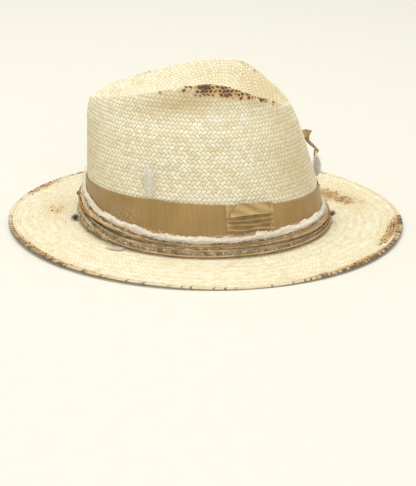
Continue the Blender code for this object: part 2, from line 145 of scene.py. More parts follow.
MIX_A, MIX_B, MIX_RESULT = 6, 7, 2      # the Mix node's colour sockets


class Graph:
    """One material and its nodes."""

    def __init__(self, name, roughness=0.7, metallic=0.0, sheen=0.0, specular=0.5):
        self.material = bpy.data.materials.new(name)
        self.material.use_nodes = True
        self.tree = self.material.node_tree
        self.shader = self.tree.nodes["Principled BSDF"]
        self.set("Roughness", roughness)
        self.set("Metallic", metallic)
        self.set("Sheen Weight", sheen)
        self.set("Specular IOR Level", specular)

    def feed(self, socket, value):
        """Put a value, a colour or a number on a socket; None leaves it alone."""
        if isinstance(value, Value):
            self.tree.links.new(value.socket, socket)
        elif isinstance(value, tuple):
            socket.default_value = (*value, 1.0)
        elif value is not None:
            socket.default_value = value

    def set(self, name, value):
        self.feed(self.shader.inputs[name], value)

    def node(self, kind, inputs, output=0, **settings):
        """A new node's output; the inputs are keyed by name or number."""
        made = self.tree.nodes.new(kind)
        for key, value in settings.items():
            setattr(made, key, value)
        for key, value in inputs.items():
            self.feed(made.inputs[key], value)
        return Value(self, made.outputs[output])

    def math(self, op, *values):
        return self.node("ShaderNodeMath", dict(enumerate(values)), operation=op)

    def attribute(self, name):
        return self.node("ShaderNodeAttribute", {}, "Fac", attribute_name=name)

    def uv(self):
        """The piece's own map: u along, v across."""
        split = self.node("ShaderNodeSeparateXYZ", {0: self.node("ShaderNodeUVMap", {}, uv_map="map")})
        return split, Value(self, split.socket.node.outputs[1])

    def vector(self, x, y=0.0, z=0.0):
        return self.node("ShaderNodeCombineXYZ", {"X": x, "Y": y, "Z": z})

    def noise(self, vector, scale=1.0, detail=2.0, roughness=0.5):
        return self.node("ShaderNodeTexNoise", {"Vector": vector, "Scale": scale, "Detail": detail,
                                                "Roughness": roughness})

    def cloud(self, scale, detail=2.0, roughness=0.5):
        """Noise through space, not along the piece's map."""
        return self.noise(self.node("ShaderNodeNewGeometry", {}, "Position"), scale, detail, roughness)

    def random(self, *place):
        return self.node("ShaderNodeTexWhiteNoise", {"Vector": self.vector(*place)}, "Value")

    def mix(self, share, first, second):
        return self.node("ShaderNodeMix", {"Factor": share, MIX_A: first, MIX_B: second}, MIX_RESULT,
                         data_type="RGBA", clamp_factor=True)

    def finish(self, colour, height, depth, strength):
        """The colour, and bump from a height pattern with its depth in mm; gives the material."""
        self.set("Base Color", colour)
        self.set("Normal", self.node("ShaderNodeBump", {"Height": height, "Distance": depth * MM,
                                                        "Strength": strength}))
        return self.material


def floor_material():
    g = Graph("floor_paper", 0.9, specular=0.2)
    g.set("Base Color", g.mix(g.cloud(60.0, 3.0), (0.785, 0.77, 0.69), (0.805, 0.79, 0.71)))
    return g.material


def add_floor():
    mesh = bpy.data.meshes.new("floor")
    mesh.from_pydata([(x * FLOOR_REACH, y * FLOOR_REACH, 0) for x, y in ((-1, -1), (1, -1), (1, 1), (-1, 1))],
                     [], [(0, 1, 2, 3)])
    mesh.materials.append(floor_material())
    floor = bpy.data.objects.new("floor", mesh)
    floor.location.z = cad_box[0][2] - FLOOR_GAP
    scene.collection.objects.link(floor)


add_floor()

# ---- hat dimensions, mm, the same as the frame's ---------------------------------------------------
HEAD_HALF_LENGTH = 100.0
HEAD_HALF_WIDTH = 84.0
HEAD_EGG = 0.03
BRIM_HALF_LENGTH = 167.0
BRIM_HALF_WIDTH = 155.0
STRAW_THICKNESS = 2.0
EDGE_BRAID_WIDTH = 3.2
BREAK_RADIUS = 4.5
BASE_Z = 6.5
RIDGE_CENTRE_Y = 13.0
RIDGE_HALF_LENGTH = 87.0
RIDGE_HALF_WIDTH = 51.5
RIDGE_PINCH = 0.42
RIDGE_HEIGHTS = ((0, 105.5), (38, 115.0), (68, 128.5), (92, 124.5), (116, 116.5), (143, 108.5), (180, 102.0))
WALL_POWERS = ((0, 1.4), (90, 1.45), (180, 2.4))
DENT_DEPTHS = ((0, 0.0), (30, 2.6), (64, 5.0), (105, 3.0), (140, 0.0), (180, 0.0))
# from the ridge down into the crease: share of the way out from its floor, share of its depth
CREASE_SHAPE = ((0.955, 0.0), (0.82, 0.08), (0.54, 0.58), (0.16, 1.0), (0.01, 1.0))
DENT_LEVEL = 0.86
DENT_SPREAD = 0.10
CREASE_HALF_LENGTH = 45.0
CREASE_DEPTHS = ((0, 5.0), (38, 13.5), (68, 23.5), (92, 19.5), (116, 13.5), (143, 9.0), (180, 6.0))
RIBBON_FOOT = ((0, 9.0), (90, 9.6), (180, 9.0))
RIBBON_TOP = ((0, 35.5), (40, 37.5), (90, 42.0), (140, 40.5), (180, 37.0))
RIBBON_D = (0.4, 1.2)
FRAY_FOOT = ((0, 12.8), (50, 11.5), (95, 10.5), (113, 13.4), (130, 16.5), (150, 20.2), (180, 27.0))
FRAY_TOP = ((0, 18.5), (50, 17.0), (95, 15.8), (113, 19.2), (130, 22.0), (150, 27.0), (180, 36.5))
ROLL_D = 3.9
ROLL_Z = ((0, 10.3), (50, 9.0), (95, 8.0), (113, 10.8), (130, 13.9), (150, 17.4), (180, 23.0))
ROLL_RADIUS = 2.0
ROPE_D = ((0, 3.9), (50, 8.4), (90, 9.4), (113, 8.6), (130, 7.2), (150, 5.8), (180, 5.2))
ROPE_HALF_DEPTHS = ((0, 2.2), (50, 2.8), (90, 3.4), (130, 3.5), (180, 3.8))
ROPE_HALF_HEIGHTS = ((0, 2.2), (50, 2.8), (90, 3.2), (113, 3.8), (130, 4.7), (150, 5.7), (180, 6.4))
LACE_RADIUS = 0.8
LACE_GAP = 0.4
LOWER_LIFT = ((0, 10.0), (50, -5.0), (90, -15.0), (113, -5.0), (130, 25.0), (150, 65.0), (180, 80.0))
MIDDLE_LIFT = ((0, 55.0), (50, 50.0), (90, 45.0), (113, 52.0), (130, 72.0), (150, 100.0), (180, 118.0))
UPPER_LIFT = ((0, 52.0), (60, 38.0), (113, 32.0), (150, 10.0), (180, 0.0))
PATCH_SPAN, FLAP_SPAN = (-67.0, -43.0), (-65.0, -46.0)
END_RADIUS = 0.8
END_LINE = ((-112.5, 15.4), (-113.2, 16.9), (-114.6, 18.4), (-116.4, 19.4), (-118.2, 19.8))
GAP = 0.3

# ---- weave, mm -------------------------------------------------------------------------------------
AROUND = 900              # samples round the hat
CROWN_STRAWS = 300        # upright straws round the crown
BRIM_STRAWS = 450
CROWN_ROW = 3.35          # height of one row
BRIM_RINGS = 25
RING_BAND = 3.0           # rings from one darker band of the brim to the next
RING_ROWS = 4             # rows of points to a ring
CROWN_ROWS = 220          # rows of points up the crown
CROWN_MAP = 200.0         # where the crown's rows start in the map; the brim's are all below half of it
WEAVE_RELIEF = 0.46
INNER_SKIN = 1.6          # from the outer face in to the inner one, between their bumps
INNER_BURN = 0.45         # how much of a scorch shows inside
MAP_DRIFT = ((0, 7, 0.20), (1, 8, 0.15))     # unevenness of the straws: map axis, seed, reach
SLANT = 0.46              # how far each bump leans, one row to the left and the next to the right
BUMP_ENDS = 0.80          # how fast a bump falls towards its two ends
BUMP_SIDES = 0.60         # and towards the rows beside it


def eased(stations, degrees):
    """Smooth value between (angle, value) stations, the same on both sides of the hat."""
    angle = np.abs((np.asarray(degrees, float) + 180.0) % 360.0 - 180.0)
    xs, ys = np.array(stations, float).T
    h = np.diff(xs)
    rise = np.diff(ys) / h
    slope = np.zeros(len(xs))
    slope[1:-1] = (rise[:-1] * h[1:] + rise[1:] * h[:-1]) / (h[:-1] + h[1:])
    i = np.clip(np.searchsorted(xs, angle, side="left") - 1, 0, len(xs) - 2)
    u = (angle - xs[i]) / h[i]
    return ((2 * u ** 3 - 3 * u ** 2 + 1) * ys[i] + (u ** 3 - 2 * u ** 2 + u) * h[i] * slope[i]
            + (3 * u ** 2 - 2 * u ** 3) * ys[i + 1] + (u ** 3 - u ** 2) * h[i] * slope[i + 1])


def xy(x, y):
    """Pairs from two arrays: points in plan, or a map."""
    return np.stack(np.broadcast_arrays(x, y), -1)


def unit(vectors, least=0.0):
    return vectors / np.maximum(np.linalg.norm(vectors, axis=-1, keepdims=True), least)


def lifted(plan, z):
    """Points in plan with their heights."""
    return np.concatenate([plan, z[..., None]], -1)


def base_point(degrees):
    a = np.radians(degrees)
    return xy(HEAD_HALF_WIDTH * np.sin(a) * (1.0 - HEAD_EGG * np.cos(a)), -HEAD_HALF_LENGTH * np.cos(a))


def ridge_point(degrees):
    a = np.radians(degrees)
    pinch = 1.0 - RIDGE_PINCH * np.maximum(np.cos(a), 0.0) ** 2
    return xy(RIDGE_HALF_WIDTH * np.sin(a) * pinch, RIDGE_CENTRE_Y - RIDGE_HALF_LENGTH * np.cos(a))


def brim_point(degrees, inset=0.0):
    a = np.radians(degrees)
    return xy((BRIM_HALF_WIDTH - inset) * np.sin(a), -(BRIM_HALF_LENGTH - inset) * np.cos(a))


def wall_point(degrees, z):
    """Outer face of the crown wall at a height."""
    degrees, z = np.broadcast_arrays(np.asarray(degrees, float), np.asarray(z, float))
    u = np.maximum((z - BASE_Z) / (eased(RIDGE_HEIGHTS, degrees) - BASE_Z), 0.0)
    base = base_point(degrees)
    power = eased(WALL_POWERS, degrees)
    point = base + (ridge_point(degrees) - base) * (u ** power)[..., None]
    dent = eased(DENT_DEPTHS, degrees) * np.exp(-((u - DENT_LEVEL) / DENT_SPREAD) ** 2)
    return point - dent[..., None] * unit(base)


def wall_normal(degrees, z):
    along = wall_point(np.asarray(degrees) + 0.5, z) - wall_point(np.asarray(degrees) - 0.5, z)
    return unit(xy(along[..., 1], -along[..., 0]))


def wall_axes(degrees, z):
    """The wall's normal in plan and its direction round the hat."""
    n = wall_normal(degrees, z)
    return n, lifted(xy(-n[..., 1], n[..., 0]), 0.0 * n[..., 0])


def out(degrees, d, z):
    """Points d mm outside the crown wall, in mm."""
    degrees, d, z = np.broadcast_arrays(np.asarray(degrees, float), np.asarray(d, float), np.asarray(z, float))
    level = np.maximum(z, BASE_Z)
    return lifted(wall_point(degrees, level) + d[..., None] * wall_normal(degrees, level), z)


def catmull(keys, steps):
    """Smooth lines through keys (..., count, 3), steps points a span."""
    first = 2 * keys[..., :1, :] - keys[..., 1:2, :]
    last = 2 * keys[..., -1:, :] - keys[..., -2:-1, :]
    k = np.concatenate([first, keys, last], -2)
    u = (np.arange(steps) / steps)[:, None]
    spans = []
    for j in range(keys.shape[-2] - 1):
        a, b, c, d = (k[..., j + m, :][..., None, :] for m in range(4))
        spans.append(0.5 * (2 * b + (c - a) * u + (2 * a - 5 * b + 4 * c - d) * u ** 2
                            + (3 * b - a - 3 * c + d) * u ** 3))
    return np.concatenate(spans + [keys[..., -1:, :]], -2)


def waves(seed, *axes, octaves=4, scale=1.0):
    """Smooth seeded unevenness from -1 to 1 over any coordinates."""
    rng = np.random.default_rng(seed)
    total = 0.0
    for k in range(octaves * 3):
        f = scale * 2.0 ** (k / 3.0)
        phase = rng.uniform(0, TAU)
        tilt = rng.normal(size=len(axes))
        tilt /= np.linalg.norm(tilt)
        total = total + np.sin(sum(f * t * a for t, a in zip(tilt, axes)) + phase) / (1.0 + k * 0.35)
    return total / 2.6


# ---- mesh helpers ------------------------------------------------------------------------------------
UP = np.array([0.0, 0.0, 1.0])


def turns_of(sides):
    return np.arange(sides) * TAU / sides


def lengths_along(path):
    """Distance along a line at each of its points."""
    return np.concatenate([[0], np.cumsum(np.linalg.norm(np.diff(path, axis=0), axis=-1))])


def end_caps(start, count, ring):
    """The two end faces of a run of count rings of points."""
    end = start + (count - 1) * ring
    return [tuple(start + j for j in range(ring))[::-1], tuple(end + j for j in range(ring))]


def build(name, points, faces, material, body="hat", uv=None, values=None, smooth=True, replaces=(), lap=None):
    """One mesh piece from points in mm; uv, values and lap (the length of u round the hat) are per point."""
    mesh = bpy.data.meshes.new(name)
    mesh.from_pydata((np.asarray(points).reshape(-1, 3) * MM).tolist(), [], faces)
    if uv is not None:
        layer = mesh.uv_layers.new(name="map")
        corner = np.empty(len(mesh.loops), np.int32)
        mesh.loops.foreach_get("vertex_index", corner)
        flat = np.asarray(uv, np.float32).reshape(-1, 2)[corner]
        if lap is not None:
            first = np.empty(len(mesh.polygons), np.int32)
            mesh.polygons.foreach_get("loop_start", first)
            reach = np.repeat(np.maximum.reduceat(flat[:, 0], first), np.diff(np.append(first, len(corner))))
            period = np.asarray(lap, np.float32)[corner]
            flat[:, 0] += np.where(flat[:, 0] < reach - 0.5 * period, period, 0.0)
        layer.data.foreach_set("uv", flat.ravel())
    for key, value in (values or {}).items():
        mesh.attributes.new(key, "FLOAT", "POINT").data.foreach_set("value", np.asarray(value, np.float32).ravel())
    mesh.polygons.foreach_set("use_smooth", [smooth] * len(mesh.polygons))
    mesh.materials.append(material)
    piece = bpy.data.objects.new(name, mesh)
    scene.collection.objects.link(piece)
    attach(piece, body)
    for node in replaces:
        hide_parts(node)
        [p["material_slot"] for p in frame["record"]["subparts"] if p["node"] == node][0]
    return piece


def grid_faces(nu, nv, wrap_u=True, wrap_v=False, start=0):
    u = np.arange(nu if wrap_u else nu - 1)
    v = np.arange(nv if wrap_v else nv - 1)
    a, b = np.meshgrid(u, v, indexing="ij")
    a2, b2 = (a + 1) % nu, (b + 1) % nv
    quads = np.stack([a * nv + b, a2 * nv + b, a2 * nv + b2, a * nv + b2], -1).reshape(-1, 4) + start
    return quads.tolist()


def normals_of(points):
    """Unit normals of a grid of points (around, along, 3) that closes round."""
    du = np.roll(points, -1, 0) - np.roll(points, 1, 0)
    return unit(np.cross(du, np.gradient(points, axis=1)), 1e-9)


def weave_height(u, v):
    """Rows of leaning oval bumps, each row set half a bump along: 1 on a bump, about 0.06 in the gaps."""
    row = np.floor(v)
    y = 2 * (v - row) - 1
    beside = y - 2 * np.where(y > 0, 1.0, -1.0)

    def bump(y, row):
        lean = SLANT * (1 - 4 * np.abs(0.5 * row - np.floor(0.5 * row)))
        cell = 0.5 * (u + lean * y + row)
        x = 2 * (cell - np.floor(cell)) - 1
        return 1 - BUMP_ENDS * x ** 2 - BUMP_SIDES * y ** 2

    return np.maximum(bump(y, row), bump(beside, row + 1))


# ---- woven hat body --------------------------------------------------------------------------------
def crown_lines(angle, count):
    """Lines up the crown from the brim break to the crease, evenly spaced; also the distances along."""
    base, n = base_point(angle), wall_normal(angle, BASE_Z)
    turn = np.radians(np.linspace(0, 90, 8, endpoint=False))
    fillet = base[:, None] + n[:, None] * BREAK_RADIUS * (1 - np.sin(turn))[None, :, None]
    fillet = lifted(fillet, np.broadcast_to(BASE_Z - BREAK_RADIUS * np.cos(turn), fillet.shape[:2]))
    top = eased(RIDGE_HEIGHTS, angle)

    def on_wall(shares):
        z = BASE_Z + shares[None, :] * (top - BASE_Z)[:, None]
        return lifted(wall_point(angle[:, None], z), z)

    wall = on_wall(np.linspace(0.0, 0.72, 60, endpoint=False))
    keys = on_wall(np.array([0.64, 0.72, 0.80, 0.88]))
    crease = xy(0.0 * angle, RIDGE_CENTRE_Y - CREASE_HALF_LENGTH * np.cos(np.radians(angle)))
    ridge, depth = ridge_point(angle), eased(CREASE_DEPTHS, angle)
    for v, drop in CREASE_SHAPE:
        keys = np.concatenate([keys, lifted(crease + v * (ridge - crease), top - drop * depth)[:, None]], 1)
    crown = catmull(keys, 10)[:, 10:]
    line = np.concatenate([fillet, wall, crown], 1)
    step = np.linalg.norm(np.diff(line, axis=1), axis=-1)
    along = np.concatenate([np.zeros((len(angle), 1)), np.cumsum(step, 1)], 1)
    share = np.linspace(0, 1, count)
    even = np.empty((len(angle), count, 3))
    for i in range(len(angle)):
        for k in range(3):
            even[i, :, k] = np.interp(share * along[i, -1], along[i], line[i, :, k])
    return even, share[None] * along[:, -1:]


def brim_lines(angle, count):
    """Lines over the brim from its edge to the break, with a slight worn wave near the edge."""
    edge = brim_point(angle, EDGE_BRAID_WIDTH + 0.1)
    foot = base_point(angle) + wall_normal(angle, BASE_Z) * BREAK_RADIUS
    share = np.linspace(0, 1, count, endpoint=False)
    p = edge[:, None] + (foot - edge)[:, None] * share[None, :, None]
    lift = brim_lift(angle)[:, None] * (1 - share[None]) ** 1.6
    return lifted(p, STRAW_THICKNESS + lift), share


def brim_lift(angle):
    a = np.radians(angle)
    return 1.2 + 0.8 * np.sin(2 * a + 0.4) + 0.5 * np.sin(3 * a + 2.0) + 0.3 * np.sin(7 * a)


# Scorched places: (centre angle, half spread in degrees, centre share, half spread, strength).
# On the brim the share runs from the edge (0) to the break (1); on the crown it is mm up from the ridge.
BRIM_SCORCH = (
    (45, 8, 0.64, 0.26, 0.82), (36, 6, 0.50, 0.16, 0.70), (53, 6, 0.56, 0.18, 0.40), (31, 5, 0.34, 0.08, 0.40),
    (3, 8, 0.07, 0.09, 0.95), (-5, 7, 0.10, 0.07, 0.85), (9, 7, 0.02, 0.06, 0.70), (-27, 13, 0.0, 0.045, 0.80),
    (-42, 7, 0.0, 0.04, 0.50), (-128, 20, 0.0, 0.045, 0.66), (-108, 9, 0.0, 0.02, 0.40),
    (166, 10, 0.03, 0.08, 0.7), (-171, 7, 0.60, 0.16, 0.42), (66, 5, 0.03, 0.07, 0.5), (110, 14, 0.02, 0.08, 0.5))
CROWN_SCORCH = (
    (-71, 8, -3.4, 6.4, 1.0), (-62, 6, -4.6, 6.4, 1.0), (-54, 5, -3.0, 5.0, 0.86), (-47, 4, -1.5, 4.0, 1.0),
    (-38, 5, -1.0, 3.8, 0.92), (-28, 6, -2.0, 4.0, 0.50), (-82, 7, -3.0, 5.0, 0.52), (-95, 8, -3.0, 4.0, 0.30),
    (60, 14, 0.0, 4.0, 0.35), (128, 12, 0.0, 4.0, 0.35))
EDGE_SCORCH = (
    (-136, 24, 0.0, 0.2, 0.66), (-22, 26, 0.0, 0.2, 0.72), (150, 40, 0.0, 0.2, 0.35), (-80, 40, 0.0, 0.2, 0.16))
# Places where the straw is coloured tan, on the brim and crown as above: on the brim, tan all round next to the break
# and in handled and sunned places; on the crown, tan straw and painted shade.
BRIM_SOIL = (
    (0, 400, 1.0, 0.10, 0.45), (40, 26, 0.45, 0.30, 0.42), (2, 20, 0.08, 0.16, 0.40), (-30, 30, 0.0, 0.08, 0.45),
    (-130, 34, 0.0, 0.08, 0.45), (-175, 16, 0.6, 0.3, 0.4))
# crown: first row is painted shade in the side dent under the ridge; fifth row is a tan tint on the top's front inner
# slope, partly burn tint and partly painted shade; the other rows make the straw darker and tanner in broad places
CROWN_TAN_AND_PAINTED_SHADE = (
    (-86, 24, -14.0, 10.0, 0.80), (-52, 26, -7.0, 5.0, 0.42), (-160, 26, -45.0, 40.0, 0.44),
    (-22, 22, -50.0, 45.0, 0.56), (38, 30, 10.0, 26.0, 0.62), (80, 30, 22.0, 16.0, 0.25),
    (-90, 400, -112.0, 14.0, 0.30))


def scorch(marks, angle, place):
    total = np.zeros(np.broadcast(angle, place).shape)
    for centre, spread, at, wide, strength in marks:
        off = (angle - centre + 180.0) % 360.0 - 180.0
        total = np.maximum(total, strength * np.exp(-(off / spread) ** 2 - ((place - at) / wide) ** 2))
    return total


def straw_material(name):
    """Plain woven straw: pale and tan strands, painted shade in the gaps between bumps, amber halos and charred dots.
    """
    g = Graph(name, 0.6, specular=0.35)
    u, v = g.uv()
    row = v.floor()
    y = (v - row) * 2.0 - 1.0
    beside = y - ((y > 0.0) * 4.0 - 2.0)

    def bump(y, row):
        half = row * 0.5
        lean = (1.0 - (half - half.floor()) * 4.0) * SLANT
        cell = (u + y * lean + row) * 0.5
        x = (cell - cell.floor()) * 2.0 - 1.0
        return 1.0 - x * x * BUMP_ENDS - y * y * BUMP_SIDES, cell.floor(), x

    here, here_cell, here_x = bump(y, row)
    next_to, next_cell, next_x = bump(beside, row + (y > 0.0) * 2.0 - 1.0)
    other = next_to > here
    height = here.max(next_to)
    cell = here_cell + (next_cell - here_cell) * other
    line = row + ((y > 0.0) * 2.0 - 1.0) * other
    x = here_x + (next_x - here_x) * other
    y_own = y + (beside - y) * other
    on_crown = v > CROWN_MAP / 2
    fibre = g.noise(g.vector(u * 0.9, v * 8.0), 1.0, 3.0, 0.6)
    tone = g.noise(g.vector(u * 0.10, line * 3.7), 1.0, 1.0)
    bump_tone = g.random(cell, line, 5.0)
    pale = g.mix(tone.ramp(0.25, 0.85), (0.97, 0.945, 0.79), (0.90, 0.825, 0.58))
    band = (v * (TAU / RING_BAND)).cos().ramp(-0.3, 0.9) * (1.0 - on_crown)
    pale = g.mix(band * 0.34, pale, (0.82, 0.72, 0.42))
    pale = g.mix(bump_tone * bump_tone * 0.62, pale, (0.72, 0.60, 0.34))
    pale = g.mix(fibre.ramp(0.35, 0.8) * 0.35, pale, (0.70, 0.58, 0.33))
    blotch = g.cloud(22.0, 3.0).ramp(0.50, 0.75)
    pale = g.mix(blotch * 0.24, pale, (0.88, 0.72, 0.40))
    # painted shade: the gaps between the bumps darkened, more on the crown, on top of the relief's own shadows
    painted_gap_shade = 1.0 - height.ramp(0.06, 0.44)
    # tan straw, and painted shade in the crown's side dent under the ridge and on the top's front inner slope
    tan_and_painted_shade = g.attribute("tan_and_painted_shade")
    pale = g.mix(tan_and_painted_shade, pale, (0.66, 0.51, 0.25))
    colour = g.mix(painted_gap_shade * (0.62 + on_crown * 0.24), pale, (0.37, 0.26, 0.105))
    burn = g.attribute("scorch")
    uneven = g.cloud(180.0, 2.0) - 0.5
    halo = (burn + uneven * 0.35).ramp(0.08, 0.70)
    colour = g.mix(halo * 0.80, colour, (0.66, 0.38, 0.12))
    reach = (x * x * 0.9 + y_own * y_own * 0.8).power(0.5)
    chance = g.random(cell, line, 1.0)
    size = g.random(cell, line, 9.0) * 0.40 + burn * (0.22 + on_crown * 0.24)
    burnt = (burn * 1.45 - chance * 0.70 - 0.08).ramp(0.05, 0.34)
    dot = burnt * (1.0 - (reach + uneven * 0.9 - size).ramp(0.14, 0.50))
    char = g.mix(g.random(cell, line, 7.0), (0.055, 0.024, 0.013), (0.150, 0.085, 0.060))
    colour = g.mix(dot * 0.95, colour, char)
    return g.finish(colour, height * 0.8 + fibre * 0.30 - dot * 0.6, 0.4, 0.9)


def make_body():
    angle = np.arange(AROUND) * 360.0 / AROUND
    brim_rows = BRIM_RINGS * RING_ROWS
    brim, share = brim_lines(angle, brim_rows)
    crown, along = crown_lines(angle, CROWN_ROWS)
    points = np.concatenate([brim, crown], 1)
    u = np.arange(AROUND) / AROUND
    uv = np.empty(points.shape[:2] + (2,))
    uv[:, :brim_rows, 0] = u[:, None] * BRIM_STRAWS
    uv[:, :brim_rows, 1] = share[None] * BRIM_RINGS
    uv[:, brim_rows:, 0] = u[:, None] * CROWN_STRAWS
    uv[:, brim_rows:, 1] = CROWN_MAP + along / CROWN_ROW
    ring_u = TAU * u[:, None]
    for axis, seed, reach in MAP_DRIFT:
        uv[..., axis] += reach * waves(seed, 55 * np.cos(ring_u), 55 * np.sin(ring_u), uv[..., 1] * 1.7, octaves=3)
    ridge_at = along[np.arange(AROUND), np.argmax(crown[..., 2], 1)]
    # per point: tan straw, and painted shade on the crown
    tan_and_painted_shade = np.concatenate([scorch(BRIM_SOIL, angle[:, None], share[None]),
                           scorch(CROWN_TAN_AND_PAINTED_SHADE, angle[:, None], along - ridge_at[:, None])], 1)
    burn = np.concatenate([scorch(BRIM_SCORCH, angle[:, None], share[None]),
                           scorch(CROWN_SCORCH, angle[:, None], along - ridge_at[:, None])], 1)
    n = normals_of(points)
    x, y, z = np.moveaxis(points, -1, 0)
    worn = 0.5 * waves(3, x / 30, y / 30, z / 30)
    worn[:, :brim_rows] *= np.clip(1 - share * 1.6, 0, 1)[None]
    clear = np.clip((z - 44.0) / 12.0, 0, 1)
    worn[:, brim_rows:] *= clear[:, brim_rows:]
    relief = WEAVE_RELIEF * weave_height(uv[..., 0], uv[..., 1]) - 0.8 * WEAVE_RELIEF
    points = points + n * (relief + worn)[..., None]
    # inner face, coarser, joined at the brim edge and closed along the crease
    inner = points[::2, ::2] - n[::2, ::2] * INNER_SKIN
    inner[:, :brim_rows // 2, 2] = np.maximum(inner[:, :brim_rows // 2, 2], 0.05)
    nu, nv = points.shape[:2]
    mu, mv = inner.shape[:2]
    start = nu * nv
    faces = grid_faces(nu, nv)
    faces += [tuple(reversed(f)) for f in grid_faces(mu, mv, start=start)]
    for k in range(mu):
        o0, o1, o2 = (2 * k) * nv, (2 * k + 1) * nv, ((2 * k + 2) % nu) * nv
        i0, i1 = start + k * mv, start + ((k + 1) % mu) * mv
        faces += [(o1, o0, i0), (o2, o1, i0, i1)]
    for count, rows, offset, flip in ((nu, nv, 0, False), (mu, mv, start, True)):
        for i in range(count // 2):
            ring = [offset + j * rows + rows - 1 for j in (i, i + 1, (count - i - 1) % count, (count - i) % count)]
            ring = list(dict.fromkeys(ring))
            faces.append(tuple(reversed(ring)) if flip else tuple(ring))
    lap = np.full(points.shape[:2], float(CROWN_STRAWS))
    lap[:, :brim_rows] = BRIM_STRAWS

    def both(values, share=1.0):
        return np.concatenate([values.ravel(), (values[::2, ::2] * share).ravel()])

    build("hat_straw", np.concatenate([points.reshape(-1, 3), inner.reshape(-1, 3)]), faces,
          straw_material("straw_weave"), uv=xy(both(uv[..., 0]), both(uv[..., 1])),
          values={"scorch": both(burn, INNER_BURN), "tan_and_painted_shade": both(tan_and_painted_shade)}, lap=both(lap), replaces=["woven_hat_body"])


# ---- cloth, cord and fibre builders ------------------------------------------------------------------
def strip(name, angles, foot, top, d, thickness, material, closed=True, values=None, replaces=()):
    """A cloth strip on the crown wall; foot and top are per angle, d and the values per angle and row."""
    z = foot[:, None] + (top - foot)[:, None] * np.linspace(0, 1, d.shape[1])
    outer, inner = out(angles[:, None], d + thickness, z), out(angles[:, None], d, z)
    points = np.concatenate([outer, inner[:, ::-1]], 1)
    uv = xy(lengths_along(outer[:, 0])[:, None], np.concatenate([z, z[:, ::-1]], 1))
    count, ring = points.shape[:2]
    faces = grid_faces(count, ring, wrap_u=closed, wrap_v=True) + ([] if closed else end_caps(0, count, ring))
    flat = {k: np.concatenate([x, x[:, ::-1]], 1) for k, x in (values or {}).items()}
    return build(name, points, faces, material, uv=uv, values=flat, replaces=replaces)


def resampled(path, step, closed):
    """The path at even steps, the distance along it at each, and its length."""
    loop = np.concatenate([path, path[:1]]) if closed else path
    along = lengths_along(loop)
    at = np.linspace(0, along[-1], max(int(along[-1] / step), 8), endpoint=not closed)
    return np.stack([np.interp(at, along, loop[:, k]) for k in range(3)], -1), at, along[-1]


def frames(path, closed, up):
    """Two directions across a path at each of its points."""
    t = unit(np.roll(path, -1, 0) - np.roll(path, 1, 0) if closed else np.gradient(path, axis=0))
    a = unit(np.cross(np.broadcast_to(np.asarray(up, float), t.shape), t))
    return a, np.cross(t, a)


def tubes(name, lines, radii, material, sides=8, body="hat", replaces=(), up=UP):
    """Round cords in one piece; lines is a list of (path, closed), radii a number or an array each."""
    points, faces, uv = [], [], []
    start = 0
    turn = turns_of(sides)
    for k, ((path, closed), radius) in enumerate(zip(lines, radii)):
        a, b = frames(path, closed, up)
        count = len(path)
        r = np.broadcast_to(radius, (count,))[:, None, None]
        ring = path[:, None] + r * (np.cos(turn)[None, :, None] * a[:, None] + np.sin(turn)[None, :, None] * b[:, None])
        points.append(ring.reshape(-1, 3))
        uv.append(xy((lengths_along(path) + 50.0 * k)[:, None], turn[None] / TAU).reshape(-1, 2))
        faces += grid_faces(count, sides, wrap_u=closed, wrap_v=True, start=start)
        if not closed:
            faces += end_caps(start, count, sides)
        start += count * sides
    return build(name, np.concatenate(points), faces, material, body=body, uv=np.concatenate(uv), replaces=replaces)


def twisted(name, path, radius, pitch, material, closed=True, strands=2, replaces=(), up=UP, wobble=0.12, seed=1):
    """A cord laid up from round strands, slightly uneven."""
    radii = np.broadcast_to(radius, (len(path),)).astype(float)
    path, at, length = resampled(path, pitch / 9.0, closed)
    a, b = frames(path, closed, up)
    turns = max(round(length / pitch), 1)
    thick = np.interp(np.linspace(0, 1, len(path)), np.linspace(0, 1, len(radii)), radii)
    thick = thick * (1.0 + wobble * waves(seed, np.cos(TAU * at / length) * 9,
                                          np.sin(TAU * at / length) * 9, octaves=3))
    offset, strand = (0.50, 0.52) if strands == 2 else (0.56, 0.46)
    offset = thick * offset
    lines = []
    for k in range(strands):
        phase = TAU * (turns * at / length + k / strands)
        lines.append((path + offset[:, None] * (np.cos(phase)[:, None] * a + np.sin(phase)[:, None] * b), closed))
    return tubes(name, lines, [thick * strand] * strands, material, sides=7, replaces=replaces, up=up)


FIBRE_SPANS = 4


